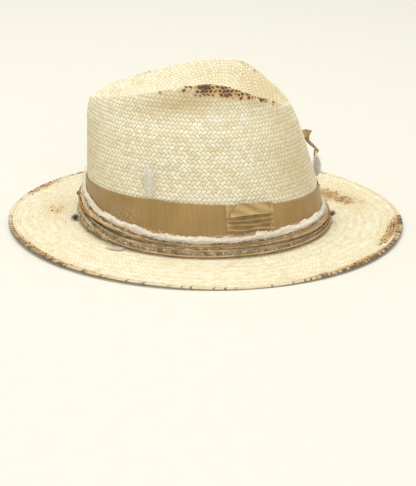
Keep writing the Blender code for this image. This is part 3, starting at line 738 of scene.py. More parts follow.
def fibres(name, roots, directions, lengths, radius, material, body="hat", seed=5, droop=0.3, curl=0.35):
    """Loose fibres: thin tapered three-sided hairs that bend and curl."""
    rng = np.random.default_rng(seed)
    count = len(roots)
    d = unit(directions)
    side = unit(np.cross(d, rng.normal(size=(count, 3))))
    other = np.cross(d, side)
    bend = (rng.normal(size=(count, 1)) * side + rng.normal(size=(count, 1)) * other) * curl
    share = np.linspace(0, 1, FIBRE_SPANS + 1)
    line = (roots[:, None] + (lengths[:, None] * share)[..., None] * d[:, None]
            + (lengths[:, None] * share ** 2)[..., None] * (bend[:, None] + np.array([0, 0, -droop])))
    turn = turns_of(3)
    thick = radius * (1.0 - 0.75 * share)[None, :, None, None]
    ring = line[:, :, None] + thick * (np.cos(turn)[None, None, :, None] * side[:, None, None]
                                       + np.sin(turn)[None, None, :, None] * other[:, None, None])
    points = ring.reshape(-1, 3)
    one = np.array(grid_faces(FIBRE_SPANS + 1, 3, wrap_u=False, wrap_v=True))
    block = (FIBRE_SPANS + 1) * 3
    quads = (one[None] + (np.arange(count) * block)[:, None, None]).reshape(-1, 4).tolist()
    tips = [(k * block + block - 3, k * block + block - 2, k * block + block - 1) for k in range(count)]
    feet = [(k * block + 2, k * block + 1, k * block) for k in range(count)]
    uv = np.zeros((len(points), 2))
    uv[:, 0] = np.repeat(rng.uniform(0, 100, count), block)
    if body == "hat":
        points[:, 2] = np.maximum(points[:, 2], STRAW_THICKNESS + 0.15)
    return build(name, points, quads + tips + feet, material, body=body, uv=uv)


# ---- materials of the bands and trims ----------------------------------------------------------------
RIB_PITCH = 0.9
ANGLES = np.arange(720) * 0.5
FINE_ANGLES = np.arange(1440) * 0.25


def ribbon_material(name, light, dark):
    """Silky ribbed ribbon with long soft streaks, stains and worn threads."""
    g = Graph(name, 0.42, sheen=0.12)
    g.set("Sheen Roughness", 0.35)
    u, v = g.uv()
    rib = (u * (TAU / RIB_PITCH)).sin()
    streak = g.noise(g.vector(u * 0.35, v * 0.02), 1.0, 4.0, 0.65)
    fine = g.noise(g.vector(u * 3.0, v * 0.12), 1.0, 2.0)
    cloud = g.cloud(26.0, 3.0, 0.55)
    colour = g.mix((streak * 0.35 + fine * 0.15 + cloud * 0.5).ramp(0.30, 0.70), dark, light)
    stain = g.cloud(45.0, 3.0).ramp(0.58, 0.76)
    colour = g.mix(stain * 0.30, colour, (0.28, 0.16, 0.05))
    frayed = g.attribute("worn").ramp(0.1, 0.7)
    speck = g.noise(g.vector(u * 0.9, v * 1.1, 4.0), 1.0, 4.0, 0.7)
    worn = (streak * fine).ramp(0.42, 0.60) * 0.4 + frayed * speck.ramp(0.50, 0.60)
    colour = g.mix(frayed * (1.0 - speck.ramp(0.38, 0.48)) * 0.7, colour, (0.20, 0.115, 0.035))
    colour = g.mix(worn * 0.75, colour, (0.72, 0.56, 0.33))
    g.set("Roughness", 0.34 + fine * 0.24)
    return g.finish(colour, rib * 0.4 + fine * 0.6 + worn * 0.8, 0.16, 0.7)


def cloth_material(name, light, dark, speck, scale=1.0, fleck=0.3, relief=0.5):
    """Raw uneven cloth or yarn with flecks of another colour."""
    g = Graph(name, 0.9, sheen=0.25, specular=0.25)
    u, v = g.uv()
    yarn = g.noise(g.vector(u * 1.4 * scale, v * 7.0), 1.0, 3.0, 0.6)
    lump = g.cloud(260.0 * scale, 3.0, 0.6)
    colour = g.mix((yarn * 0.5 + lump * 0.5).ramp(0.36, 0.64), dark, light)
    dots = g.cloud(620.0 * scale, 2.0).ramp(0.58, 0.68)
    colour = g.mix(dots * fleck, colour, speck)
    return g.finish(colour, yarn + lump, relief, 0.8)


def fibre_material(name, first, second):
    g = Graph(name, 0.85, sheen=0.1, specular=0.15)
    u, _ = g.uv()
    g.set("Base Color", g.mix(g.random(u), first, second))
    return g.material


def leather_material(name, light, dark):
    g = Graph(name, specular=0.45)
    pebble = g.cloud(900.0, 3.0, 0.55)
    wear = g.cloud(60.0, 4.0)
    colour = g.mix((pebble * 0.4 + wear * 0.6).ramp(0.38, 0.66), dark, light)
    g.set("Roughness", pebble * 0.25 + 0.37)
    return g.finish(colour, pebble, 0.18, 0.7)


def lace_material(name, light, dark):
    g = Graph(name, 0.62, specular=0.4)
    u, v = g.uv()
    grain = g.noise(g.vector(u * 2.4, v * 9.0), 1.0, 3.0)
    fade = g.cloud(70.0, 3.0)
    return g.finish(g.mix((grain * 0.4 + fade * 0.6).ramp(0.36, 0.66), dark, light), grain, 0.2, 0.7)


def metal_material(name, colour, tarnish):
    g = Graph(name, 0.32, metallic=1.0)
    dull = g.cloud(500.0, 4.0, 0.6).ramp(0.42, 0.66)
    g.set("Roughness", 0.25 + dull * 0.35)
    return g.finish(g.mix(dull, colour, tarnish), dull, 0.05, 0.5)


def paint(node, material):
    """Give a carried-over node its finish."""
    for place in frame["nodes"][node].material_slots:
        place.material = material


def round_waves(seed, angle, scale, octaves=3):
    a = np.radians(angle)
    return waves(seed, np.cos(a) * scale, np.sin(a) * scale, octaves=octaves)


# ---- brim edge ---------------------------------------------------------------------------------------
EDGE_STITCHES, EDGE_STEPS = 600, 4      # folded straw ends, and points along each
EDGE_LEVEL, EDGE_HALF_HEIGHT = 1.15, 0.78


def edge_material():
    """Back-woven straw edge, scorched dark in places."""
    g = Graph("edge_straw", 0.7, specular=0.3)
    u, v = g.uv()
    u = u + (v * TAU).cos() * 0.45
    tone = g.random(u.floor(), 3.0)
    grain = g.noise(g.vector(u * 2.0, v * 14.0), 1.0, 2.0)
    colour = g.mix(tone * 0.7, (0.93, 0.84, 0.60), (0.80, 0.66, 0.38))
    colour = g.mix(grain.ramp(0.4, 0.8) * 0.4, colour, (0.50, 0.34, 0.14))
    cut = ((u - u.floor()) - 0.5).abs().ramp(0.36, 0.5)
    colour = g.mix(cut * 0.55, colour, (0.40, 0.25, 0.10))
    burn = g.attribute("scorch")
    colour = g.mix(burn.ramp(0.10, 0.7) * 0.7, colour, (0.58, 0.34, 0.12))
    burnt = (burn * 1.10 - tone * 0.92).ramp(0.0, 0.16) * (1.0 - cut * 0.8)
    colour = g.mix(burnt * 0.90, colour, (0.105, 0.058, 0.038))
    return g.finish(colour, grain + cut * -1.0, 0.3, 0.8)


def make_edge():
    """A serrated row of folded-back straw ends round the brim."""
    count = EDGE_STITCHES * EDGE_STEPS
    angle = np.arange(count) * 360.0 / count
    phase = np.arange(count) / EDGE_STEPS
    saw = phase - np.floor(phase)
    bump = np.sin(math.pi * saw) ** 0.7
    lift = brim_lift(angle)
    inner, outer = brim_point(angle, EDGE_BRAID_WIDTH - 0.2), brim_point(angle)
    centre = 0.5 * (inner + outer)
    outward = unit(outer - inner)
    sides = 10
    turn = turns_of(sides)
    wide = 0.5 * EDGE_BRAID_WIDTH * (0.80 + 0.22 * bump + 0.05 * round_waves(21, angle, 40))
    tall = EDGE_HALF_HEIGHT * (0.72 + 0.34 * bump)
    slide = (saw - 0.5) * 0.5
    points = np.empty((count, sides, 3))
    points[..., :2] = centre[:, None] + outward[:, None] * (np.cos(turn) * wide[:, None])[..., None]
    points[..., 2] = (EDGE_LEVEL + lift)[:, None] + np.sin(turn) * tall[:, None] + (slide[:, None] * np.cos(turn) * 0.5)
    points[..., 2] = np.maximum(points[..., 2], 0.0)
    uv = xy(phase[:, None], turn / TAU)
    burn = scorch(BRIM_SCORCH + EDGE_SCORCH, angle, np.zeros(count))
    build("edge_braid", points, grid_faces(count, sides, wrap_v=True), edge_material(), uv=uv,
          values={"scorch": np.repeat(burn, sides)}, replaces=["brim_edge_braid"])


# ---- ribbon ------------------------------------------------------------------------------------------
RIBBON_ROWS = 28
RIBBON_CRINKLE = (243, 9, 0.56, 0.24)   # the worn place: angle, spread, share of the height, spread


def make_ribbon():
    foot = eased(RIBBON_FOOT, ANGLES)
    top = eased(RIBBON_TOP, ANGLES) + 0.25 * round_waves(31, ANGLES, 14)
    share = np.linspace(0, 1, RIBBON_ROWS)
    sag = 0.22 * waves(32, np.radians(ANGLES)[:, None] * 9, share[None] * 2.0) + 0.16
    angle, spread, level, height = RIBBON_CRINKLE
    crinkle = np.exp(-(((ANGLES[:, None] - angle) / spread) ** 2) - ((share[None] - level) / height) ** 2)
    fine = waves(33, ANGLES[:, None] * 1.9, share[None] * 17.0, octaves=3)
    d = RIBBON_D[0] + np.clip(sag, 0, 0.6) + crinkle * (0.42 + 0.42 * fine)
    silk = ribbon_material("ribbon_silk", (0.455, 0.295, 0.100), (0.330, 0.195, 0.060))
    piece = strip("ribbon", ANGLES, foot, top, d, 0.55, silk, values={"worn": crinkle}, replaces=["ribbon_band"])


def crumpled_material(name, light, dark, painted_highlight):
    """Silk in folds: painted light along the crests and painted shade in the valleys, a painted highlight on the
    highest crests, and fine threads across.
    """
    g = Graph(name, 0.45, sheen=0.12, specular=0.5)
    u, v = g.uv()
    painted_fold_light = g.attribute("painted_fold_light")
    thread = g.noise(g.vector(u * 0.25, v * 3.2), 1.0, 3.0, 0.6)
    mesh = (u * 5.2).sin() * (v * 5.2).sin()
    # painted light and shade of the folds, then a painted highlight where they stand highest
    colour = g.mix((painted_fold_light * 0.65 + thread * 0.35).ramp(0.26, 0.72), dark, light)
    colour = g.mix((painted_fold_light + thread * 0.25).ramp(0.92, 1.16) * 0.8, colour, painted_highlight)
    colour = g.mix((mesh * 0.5 + thread).ramp(0.55, 0.95) * 0.35, colour, dark)
    return g.finish(colour, thread + mesh * 0.3, 0.22, 0.8)


CREASED_TO = 31.0         # height where the patch's creased part ends
PATCH_THREADS = 150


def make_patch():
    """The torn patch: silk creased sideways below, smooth behind the flap above."""
    silk = crumpled_material("patch_silk_fine", (0.50, 0.325, 0.115), (0.22, 0.130, 0.040), (0.66, 0.48, 0.22))
    count, rows = 150, 84
    angle = np.linspace(*PATCH_SPAN, count)
    share = np.linspace(0, 1, rows)
    foot = 15.8 + 0.6 * round_waves(41, angle, 60)
    top = 39.9 + 0.7 * round_waves(42, angle, 50)
    z = foot[:, None] + (top - foot)[:, None] * share
    drift = waves(43, angle[:, None] * 0.16, z * 0.25, octaves=2)
    fold = 0.5 + 0.5 * np.sin(z * 1.62 + 1.9 * drift + 0.03 * (angle[:, None] + 55.0))
    fold = fold ** 2.2 * np.clip((CREASED_TO - z) / 3.0, 0, 1)
    rumple = 0.5 + 0.5 * np.clip(waves(44, angle[:, None] * 0.5, z, octaves=4), -1, 1)
    fade = np.minimum(1.0, 8.0 * np.minimum(np.linspace(0, 1, count), np.linspace(1, 0, count)))[:, None]
    d = 1.45 + (0.85 * fold + 0.40 * rumple) * fade
    edge = 1.0 - np.clip(fade, 0, 1)
    # painted fold light: lighter on the crests, above the creases and towards the sides
    painted_fold_light = np.clip(0.30 + 0.45 * fold + 0.45 * (rumple - 0.5) + 0.35 * (z > CREASED_TO) + 0.3 * edge, 0, 1)
    return strip("torn_patch", angle, foot, top, d, 0.3, silk, closed=False, values={"painted_fold_light": painted_fold_light},
                 replaces=["ribbon_patch"])


def make_flap():
    """The folded flap over the patch, its lower edge curled out over a dark slit."""
    count, rows = 110, 44
    angle = np.linspace(*FLAP_SPAN, count)
    share = np.linspace(0, 1, rows)
    side = np.linspace(0, 1, count)
    foot = 31.3 + 1.1 * np.sin(side * 2.9) + 0.3 * round_waves(45, angle, 70)
    top = np.minimum(41.6 - 1.6 * side ** 2, foot + 3.5 + 26.0 * side) + 0.2 * round_waves(46, angle, 70)
    z = foot[:, None] + (top - foot)[:, None] * share
    drift = waves(48, angle[:, None] * 0.3, z * 0.3, octaves=2)
    fan = np.sin((angle[:, None] + 46.0) * 0.55 + z * 0.75 + 0.8 * drift)
    curl = (1.0 - share[None]) ** 3
    # painted fold light: lighter on the fan folds and along the curled lower edge
    painted_fold_light = np.clip(0.58 + 0.26 * fan + 0.25 * curl, 0, 1)
    d = 2.45 + 0.85 * curl + 0.20 * (fan + 1.0) * np.sin(math.pi * np.clip(share[None], 0, 1)) ** 0.5
    silk = crumpled_material("flap_silk_fine", (0.58, 0.395, 0.16), (0.34, 0.215, 0.075), (0.68, 0.50, 0.25))
    piece = strip("torn_flap", angle, foot, top, d, 0.28, silk, closed=False, values={"painted_fold_light": painted_fold_light},
                  replaces=["ribbon_flap"])


def make_torn_place():
    """The patch, its flap and the threads pulled out along the slit and the patch's foot."""
    patch = make_patch()
    make_flap()
    rng = np.random.default_rng(48)
    count = PATCH_THREADS
    a = rng.uniform(-66, -44, count)
    level = np.where(rng.random(count) < 0.5, 30.8, rng.uniform(18, 30, count))
    roots = out(a, 2.0, level)
    n, along = wall_axes(a, level)
    along = along * rng.choice([-1, 1], count)[:, None]
    direction = along + 0.25 * np.concatenate([n, rng.normal(size=(count, 1)) * 1.4], -1)
    fibres("patch_threads", roots, direction, rng.uniform(2, 5.5, count), 0.09,
           fibre_material("silk_threads", (0.74, 0.58, 0.34), (0.30, 0.19, 0.08)), seed=49, droop=0.1, curl=0.2)


# ---- wraps -------------------------------------------------------------------------------------------
COTTON_FIBRES = 5200


def make_fray():
    """A torn cotton strip: lumpy, curled along both edges and covered in loose fibres."""
    angle = FINE_ANGLES
    foot = eased(FRAY_FOOT, angle) + 0.2 + 0.8 * round_waves(51, angle, 26, 4)
    top = eased(FRAY_TOP, angle) + 0.5 + 1.3 * round_waves(52, angle, 22, 4)
    share = np.linspace(0, 1, 18)
    puff = np.sin(math.pi * share)[None] * (1.5 + 0.7 * round_waves(53, angle, 20)[:, None])
    lump = 0.60 * waves(54, angle[:, None] * 1.1, share[None] * 6.0, octaves=5)
    crease = 0.30 * np.abs(np.sin(share[None] * 5.0 + 1.6 * round_waves(57, angle, 14)[:, None]))
    d = 1.45 + np.clip(puff + lump - crease, 0, 3.4)
    cotton = cloth_material("cotton_raw", (1.0, 0.975, 0.90), (0.98, 0.84, 0.62), (0.66, 0.46, 0.26),
                            fleck=0.18, relief=0.22)
    piece = strip("cotton_strip", angle, foot, top, d, 0.4, cotton, replaces=["frayed_strip"])
    rng = np.random.default_rng(55)
    count = COTTON_FIBRES
    a = rng.uniform(0, 360, count)
    clump = 0.5 + 0.5 * np.clip(round_waves(58, a, 46, 4) * 1.4, -1, 1)
    low, high = eased(FRAY_FOOT, a), eased(FRAY_TOP, a)
    at_top = rng.random(count) < 0.55
    level = np.where(at_top, high + rng.normal(0.2, 0.9, count), low + rng.normal(0.6, 0.9, count))
    level = np.where(rng.random(count) < 0.3, rng.uniform(low, high), level)
    roots = out(a, rng.uniform(1.8, 3.6, count) + 0.6 * clump, level)
    n, along = wall_axes(a, level)
    along = along * rng.normal(0, 0.9, count)[:, None]
    rise = np.where(at_top, rng.uniform(0.1, 1.3, count), rng.uniform(-1.0, 0.3, count))
    direction = along + np.concatenate([n * rng.uniform(0.2, 1.1, count)[:, None], rise[:, None]], -1)
    fibres("cotton_fibres", roots, direction, rng.uniform(0.8, 2.2, count) * (0.7 + 1.3 * clump), 0.12,
           fibre_material("cotton_hair", (1.0, 0.975, 0.90), (0.97, 0.83, 0.62)), seed=56, droop=0.25, curl=0.5)


WRAP_ROUGH = 0.20


def cord_point(angle, turn, cord, clear):
    """Points round an oval cord (d, z, half depth, half height); turn in degrees, clear in mm."""
    d, z, half_depth, half_height = cord
    t = np.radians(turn)
    return out(angle, d + (half_depth + clear) * np.cos(t), z + (half_height + clear) * np.sin(t))


def rope_at(angle):
    half_height = eased(ROPE_HALF_HEIGHTS, angle)
    return eased(ROPE_D, angle), STRAW_THICKNESS + GAP + half_height, eased(ROPE_HALF_DEPTHS, angle), half_height


def roll_at(angle):
    return ROLL_D, eased(ROLL_Z, angle), ROLL_RADIUS, ROLL_RADIUS


def wound_cloth(name, angle, cord, seed, turns, folds, depth, material, replaces, sides):
    """A wrap of twisted cloth: folds wind round it, and it swells and thins."""
    turn = np.arange(sides) * 360.0 / sides
    wind = turns * np.radians(angle)[:, None] + np.radians(turn)[None] * folds
    drift = 0.9 * round_waves(seed + 7, angle, 12)[:, None]
    ridge = 1.0 - depth * np.abs(np.sin(0.5 * wind + drift)) ** 0.7
    a = np.radians(angle)[:, None]
    t = np.radians(turn)[None]
    lump = waves(seed, np.cos(a) * 60, np.sin(a) * 60, np.cos(t) * 2.0, np.sin(t) * 2.0, octaves=4)
    fine = waves(seed + 3, np.cos(a) * 330, np.sin(a) * 330, np.cos(t) * 7.0, np.sin(t) * 7.0, octaves=3)
    scale = ridge * (1.0 + WRAP_ROUGH * lump + 0.4 * WRAP_ROUGH * fine)
    d, z, half_depth, half_height = (np.asarray(x, float)[..., None] for x in cord)
    points = out(angle[:, None], d + half_depth * scale * np.cos(t), z + half_height * scale * np.sin(t))
    points[..., 2] = np.maximum(points[..., 2], STRAW_THICKNESS + 0.1)
    uv = xy(lengths_along(points[:, 0])[:, None], wind / TAU)
    build(name, points, grid_faces(len(angle), sides, wrap_v=True), material, uv=uv, replaces=replaces)


def make_wraps():
    roll_cloth = cloth_material("roll_linen", (0.96, 0.74, 0.38), (0.56, 0.35, 0.12), (1.0, 0.92, 0.72), 0.8, 0.55)
    denim = cloth_material("denim_tweed", (0.70, 0.57, 0.33), (0.115, 0.075, 0.028), (1.0, 0.95, 0.82), 0.8, 0.95)
    angle = FINE_ANGLES
    wound_cloth("cloth_roll", angle, roll_at(angle), 61, 64, 2, 0.30, roll_cloth, ["twisted_roll"], 20)
    wound_cloth("denim_wrap", angle, rope_at(angle), 62, 38, 3, 0.28, denim, ["denim_rope"], 34)
    rng = np.random.default_rng(63)
    for name, cord_at, count, turns, sunk, swing, stand, lengths, radius, first, second, seed, droop in (
            ("denim", rope_at, 3600, (-30, 150), -0.35, 1.1, 1.6, (1.0, 3.0), 0.10,
             (0.94, 0.87, 0.72), (0.30, 0.22, 0.11), 64, 0.15),
            ("roll", roll_at, 900, (-60, 120), -0.3, 1.0, 1.4, (0.8, 2.4), 0.09,
             (0.97, 0.86, 0.62), (0.58, 0.38, 0.16), 65, 0.1)):
        a = rng.uniform(0, 360, count)
        turn = rng.uniform(*turns, count)
        cord = cord_at(a)
        roots = cord_point(a, turn, cord, sunk)
        tips = cord_point(a + rng.normal(0, swing, count), turn + rng.normal(0, 20, count), cord,
                          rng.uniform(0.4, stand, count))
        fibres(name + "_fibres", roots, tips - roots, rng.uniform(*lengths, count), radius,
               fibre_material(name + "_hair", first, second), seed=seed, droop=droop)


LACE_PITCH = 4.8


def make_laces():
    tan = lace_material("lace_tan", (0.80, 0.56, 0.31), (0.44, 0.26, 0.11))
    dark = lace_material("lace_brown", (0.66, 0.45, 0.24), (0.27, 0.16, 0.065))
    for name, lifts, cord, finish, node in (("lace_low", LOWER_LIFT, rope_at, tan, "lace_lower"),
                                            ("lace_mid", MIDDLE_LIFT, rope_at, dark, "lace_middle"),
                                            ("lace_top", UPPER_LIFT, roll_at, dark, "lace_upper")):
        path = cord_point(ANGLES, eased(lifts, ANGLES), cord(ANGLES), LACE_RADIUS + LACE_GAP)
        twisted(name, path, LACE_RADIUS * 1.02, LACE_PITCH, finish, replaces=[node], seed=len(node))


# ---- small trims -------------------------------------------------------------------------------------
def box_middle(node):
    """Middle and size of a CAD node's box, in mm."""
    low, high = (np.array(corner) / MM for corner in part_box(node))
    return (low + high) / 2, high - low


def cad_points(node):
    return np.array([v.co for v in frame["nodes"][node].data.vertices]) / MM


def fluff(name, node, count, length, first, second, seed):
    """A small tuft of thread ends round a CAD lump."""
    middle, size = box_middle(node)
    rng = np.random.default_rng(seed)
    way = unit(rng.normal(size=(count, 3)))
    way[:, 2] = np.abs(way[:, 2])
    fibres(name, middle + way * size * 0.16, way, rng.uniform(0.5, 1.0, count) * length, 0.13,
           fibre_material(name + "_hair", first, second), seed=seed + 1, curl=0.5)


def knot(name, node, share, tilt, radius, material):
    """A cord wound over itself like a pulled knot, as big as a share of the CAD lump."""
    middle, size = box_middle(node)
    t = np.linspace(0, TAU, 90, endpoint=False)
    x = (np.sin(t) + 2 * np.sin(2 * t)) / 3
    y = (np.cos(t) - 2 * np.cos(2 * t)) / 3
    p = np.stack([x, y, -np.sin(3 * t)], -1) * size * share * 0.5
    c, s = math.cos(tilt), math.sin(tilt)
    p = np.stack([p[:, 0], c * p[:, 1] - s * p[:, 2], s * p[:, 1] + c * p[:, 2]], -1)
    tubes(name, [(middle + p, True)], [radius], material, replaces=[node])


def make_small_trims():
    fluff("dark_tuft", "rope_tuft", 220, 4.0, (0.10, 0.07, 0.05), (0.30, 0.22, 0.14), 71)
    knot("tuft_knot", "rope_tuft", 0.8, 0.6, 0.42, lace_material("tuft_yarn", (0.16, 0.11, 0.07), (0.06, 0.04, 0.03)))
    knot("front_knot", "lace_knot", np.array([0.95, 0.9, 0.7]), 0.9, 0.55,
         lace_material("knot_lace", (0.30, 0.20, 0.12), (0.10, 0.06, 0.04)))
    fluff("knot_threads", "lace_knot", 120, 3.4, (0.26, 0.19, 0.12), (0.60, 0.52, 0.42), 73)
    middle, size = box_middle("wood_bead")
    make_bead(middle, size[0] * 0.5)
    make_loose_end()


TIP_HAIRS, END_HAIRS = 50, 420


def make_loose_end():
    """A three-strand cotton end that has opened into fluff."""
    a, d = np.array(END_LINE).T
    path = catmull(out(a, d, STRAW_THICKNESS + GAP + END_RADIUS), 8)
    yarn = cloth_material("end_yarn", (1.0, 0.93, 0.80), (0.84, 0.70, 0.50), (0.62, 0.48, 0.32), fleck=0.5)
    twisted("cotton_end", path, 0.72, 3.0, yarn, closed=False, strands=3, replaces=["loose_end"], seed=12)
    rng = np.random.default_rng(75)
    way = unit(path[-1] - path[-3])[None] + rng.normal(size=(TIP_HAIRS, 3)) * 0.45
    spot = path[rng.integers(0, len(path), END_HAIRS)] + rng.normal(size=(END_HAIRS, 3)) * 0.3
    way = np.concatenate([way, rng.normal(size=(END_HAIRS, 3)) + 0.6 * UP])
    fibres("end_threads", np.concatenate([np.repeat(path[-1:], TIP_HAIRS, 0), spot]), way,
           rng.uniform(0.9, 2.6, TIP_HAIRS + END_HAIRS), 0.18,
           fibre_material("end_hair", (1.0, 0.95, 0.85), (0.90, 0.77, 0.58)), seed=76, droop=0.1, curl=0.5)


def make_bead(middle, radius):
    """A drilled wooden bead, turned from a profile, with its hole along the wrap."""
    outward = np.array([*unit(middle[:2]), 0.0])
    along = np.array([-outward[1], outward[0], 0.0])
    hole = 0.26           # its radius as a share of the bead's
    t = np.linspace(math.asin(hole), math.pi - math.asin(hole), 20)
    profile = [(math.sin(x) * radius, -math.cos(x) * radius * 0.92) for x in t]
    profile += [(hole * radius * 0.8, y) for y in np.linspace(profile[-1][1] * 0.9, profile[0][1] * 0.9, 5)]
    sides = 28
    turn = turns_of(sides)
    points = np.array([[middle + along * h + r * (math.cos(x) * outward + math.sin(x) * UP) for r, h in profile]
                       for x in turn])
    uv = np.array([[(h * 3, x / 6.28) for _, h in profile] for x in turn])
    g = Graph("bead_walnut", 0.38)
    u, v = g.uv()
    ring = g.noise(g.vector(u * 0.8, v * 14.0), 1.0, 4.0, 0.7)
    g.set("Coat Weight", 0.3)
    walnut = g.finish(g.mix(ring.ramp(0.35, 0.65), (0.06, 0.025, 0.012), (0.22, 0.10, 0.045)), ring, 0.08, 0.5)
    build("bead", points, grid_faces(sides, len(profile), wrap_v=True), walnut, uv=uv, replaces=["wood_bead"])
    cord = np.array([middle + along * h + outward * 0.25 * math.cos(h) for h in np.linspace(-4.6, 4.6, 15)])
    tubes("bead_cord", [(cord, False)], [0.42], lace_material("bead_lace", (0.40, 0.28, 0.17), (0.2, 0.12, 0.06)))


# the crystal: its profile as (share of its length, share of its radius), and how far its edges are worn
QUARTZ_SIDES, EDGE_WEAR = 6, 0.10
QUARTZ_SHAPE = ((-0.5, 0.06), (-0.44, 0.34), (-0.22, 0.98), (0.02, 1.0), (0.30, 0.98), (0.42, 0.80), (0.5, 0.42))


def quartz_material():
    """Clear quartz, milky in places."""
    g = Graph("quartz_clear", 0.10, specular=0.6)
    g.set("Transmission Weight", 0.62)
    g.set("IOR", 1.54)
    milk = g.cloud(120.0, 3.0, 0.5)
    g.set("Roughness", 0.10 + milk * 0.22)
    return g.finish(g.mix(milk.ramp(0.38, 0.68), (0.99, 0.97, 0.92), (0.93, 0.88, 0.77)), milk, 0.10, 0.35)


def make_quartz():
    """A six-sided crystal with worn edges, in the CAD point's place, tied on with fine thread."""
    co = cad_points("quartz_point")
    centre = co.mean(0)
    _, _, basis = np.linalg.svd(co - centre)
    axis = basis[0] * np.sign(basis[0][2])
    reach = (co - centre) @ axis
    centre = centre + axis * 0.5 * (reach.max() + reach.min())
    length = reach.max() - reach.min()
    side = basis[1]
    front = np.cross(axis, side)
    rel = co - centre
    far = np.linalg.norm(rel - (rel @ axis)[:, None] * axis, axis=1)
    radius = far.max()
    corner = rel[far.argmax()]
    phase = math.atan2(corner @ front, corner @ side)
    rng = np.random.default_rng(120)
    uneven = rng.uniform(-0.05, 0.02, QUARTZ_SIDES)
    points = []
    for along, wide in QUARTZ_SHAPE:
        for k in range(QUARTZ_SIDES):
            for shift in (-EDGE_WEAR, EDGE_WEAR):
                turn = phase + (k + shift) * TAU / QUARTZ_SIDES
                grow = radius * wide * (0.965 + uneven[k])
                lean = (0.02 * math.cos(turn - 1.0) if along > 0.25 else 0.0)
                points.append(centre + axis * length * (along + lean) * 0.99
                              + grow * (math.cos(turn) * side + math.sin(turn) * front))
    ring = 2 * QUARTZ_SIDES
    levels = len(QUARTZ_SHAPE)
    faces = [(i * ring + j, i * ring + (j + 1) % ring, (i + 1) * ring + (j + 1) % ring, (i + 1) * ring + j)
             for i in range(levels - 1) for j in range(ring)]
    faces += end_caps(0, levels, ring)
    build("quartz_crystal", points, faces, quartz_material(), smooth=False, replaces=["quartz_point"])
    rings = thread_rings(cad_points("quartz_thread"))
    tubes("tie_thread", [(r, True) for r in rings], [0.2] * len(rings),
          cloth_material("tie_cotton", (0.93, 0.90, 0.84), (0.74, 0.68, 0.58), (0.6, 0.5, 0.4), fleck=0.5), sides=6,
          up=(1, 0, 0), replaces=["quartz_thread"])


def thread_rings(co):
    """Three close turns of thread in the plane of the CAD ring."""
    middle = co.mean(0)
    _, _, basis = np.linalg.svd(co - middle)
    first, second, axis = basis
    reach = np.linalg.norm((co - middle) @ np.stack([first, second]).T, axis=1)
    radius = 0.5 * (reach.min() + reach.max())
    t = np.linspace(0, TAU, 72, endpoint=False)
    rings = []
    for k, shift in enumerate((-0.45, 0.0, 0.45)):
        wave = shift + 0.25 * np.sin(t + k * 2.1)
        rings.append(middle + radius * (np.cos(t)[:, None] * first + np.sin(t)[:, None] * second)
                     + wave[:, None] * axis)
    return rings


# ---- hanging charm -----------------------------------------------------------------------------------
CHARM_ANGLE, CHARM_HINGE_Z, CHARM_HINGE_D = 27.0, 57.0, 10.0
STEM_RADIUS = 0.9
KNOB_D, KNOB_Z = 3.5, 25.0
TAB_THREADS = 60


def charm_frame():
    """The hinge, outward from the crown there, and along the hinge."""
    n, tangent = wall_axes(CHARM_ANGLE, CHARM_HINGE_Z)
    return out(CHARM_ANGLE, CHARM_HINGE_D, CHARM_HINGE_Z), np.array([*n, 0.0]), tangent


def make_charm():
    hinge, radial, tangent = charm_frame()
    keys = np.array([out(CHARM_ANGLE, KNOB_D, KNOB_Z + 2.3), out(CHARM_ANGLE + 2.5, 4.0, 34.0),
                     out(CHARM_ANGLE + 4.0, 8.0, 46.0), hinge + 4.5 * tangent - 3.0 * UP, hinge + 2.2 * tangent,
                     hinge - 2.2 * tangent, hinge - 3.2 * tangent - 2.6 * radial + 3.6 * UP,
                     hinge - tangent - 9.5 * radial + 10.5 * UP])
    twine = lace_material("stem_twine_fine", (0.62, 0.43, 0.22), (0.30, 0.17, 0.07))
    path, at, length = resampled(catmull(keys, 14), 0.35, False)
    swell = STEM_RADIUS * (1.0 + 0.85 * np.clip((at / length - 0.74) / 0.16, 0, 1))
    twisted("charm_stem", path, swell, 3.4, twine, closed=False, replaces=["trim_stem"], up=radial, seed=81)
    make_tab(keys[-1], radial)
    make_knob(out(CHARM_ANGLE, KNOB_D, KNOB_Z))
    paint("feather_loop", metal_material("loop_wire_brass", (0.72, 0.54, 0.26), (0.22, 0.14, 0.06)))
    make_feather(hinge, radial, tangent)


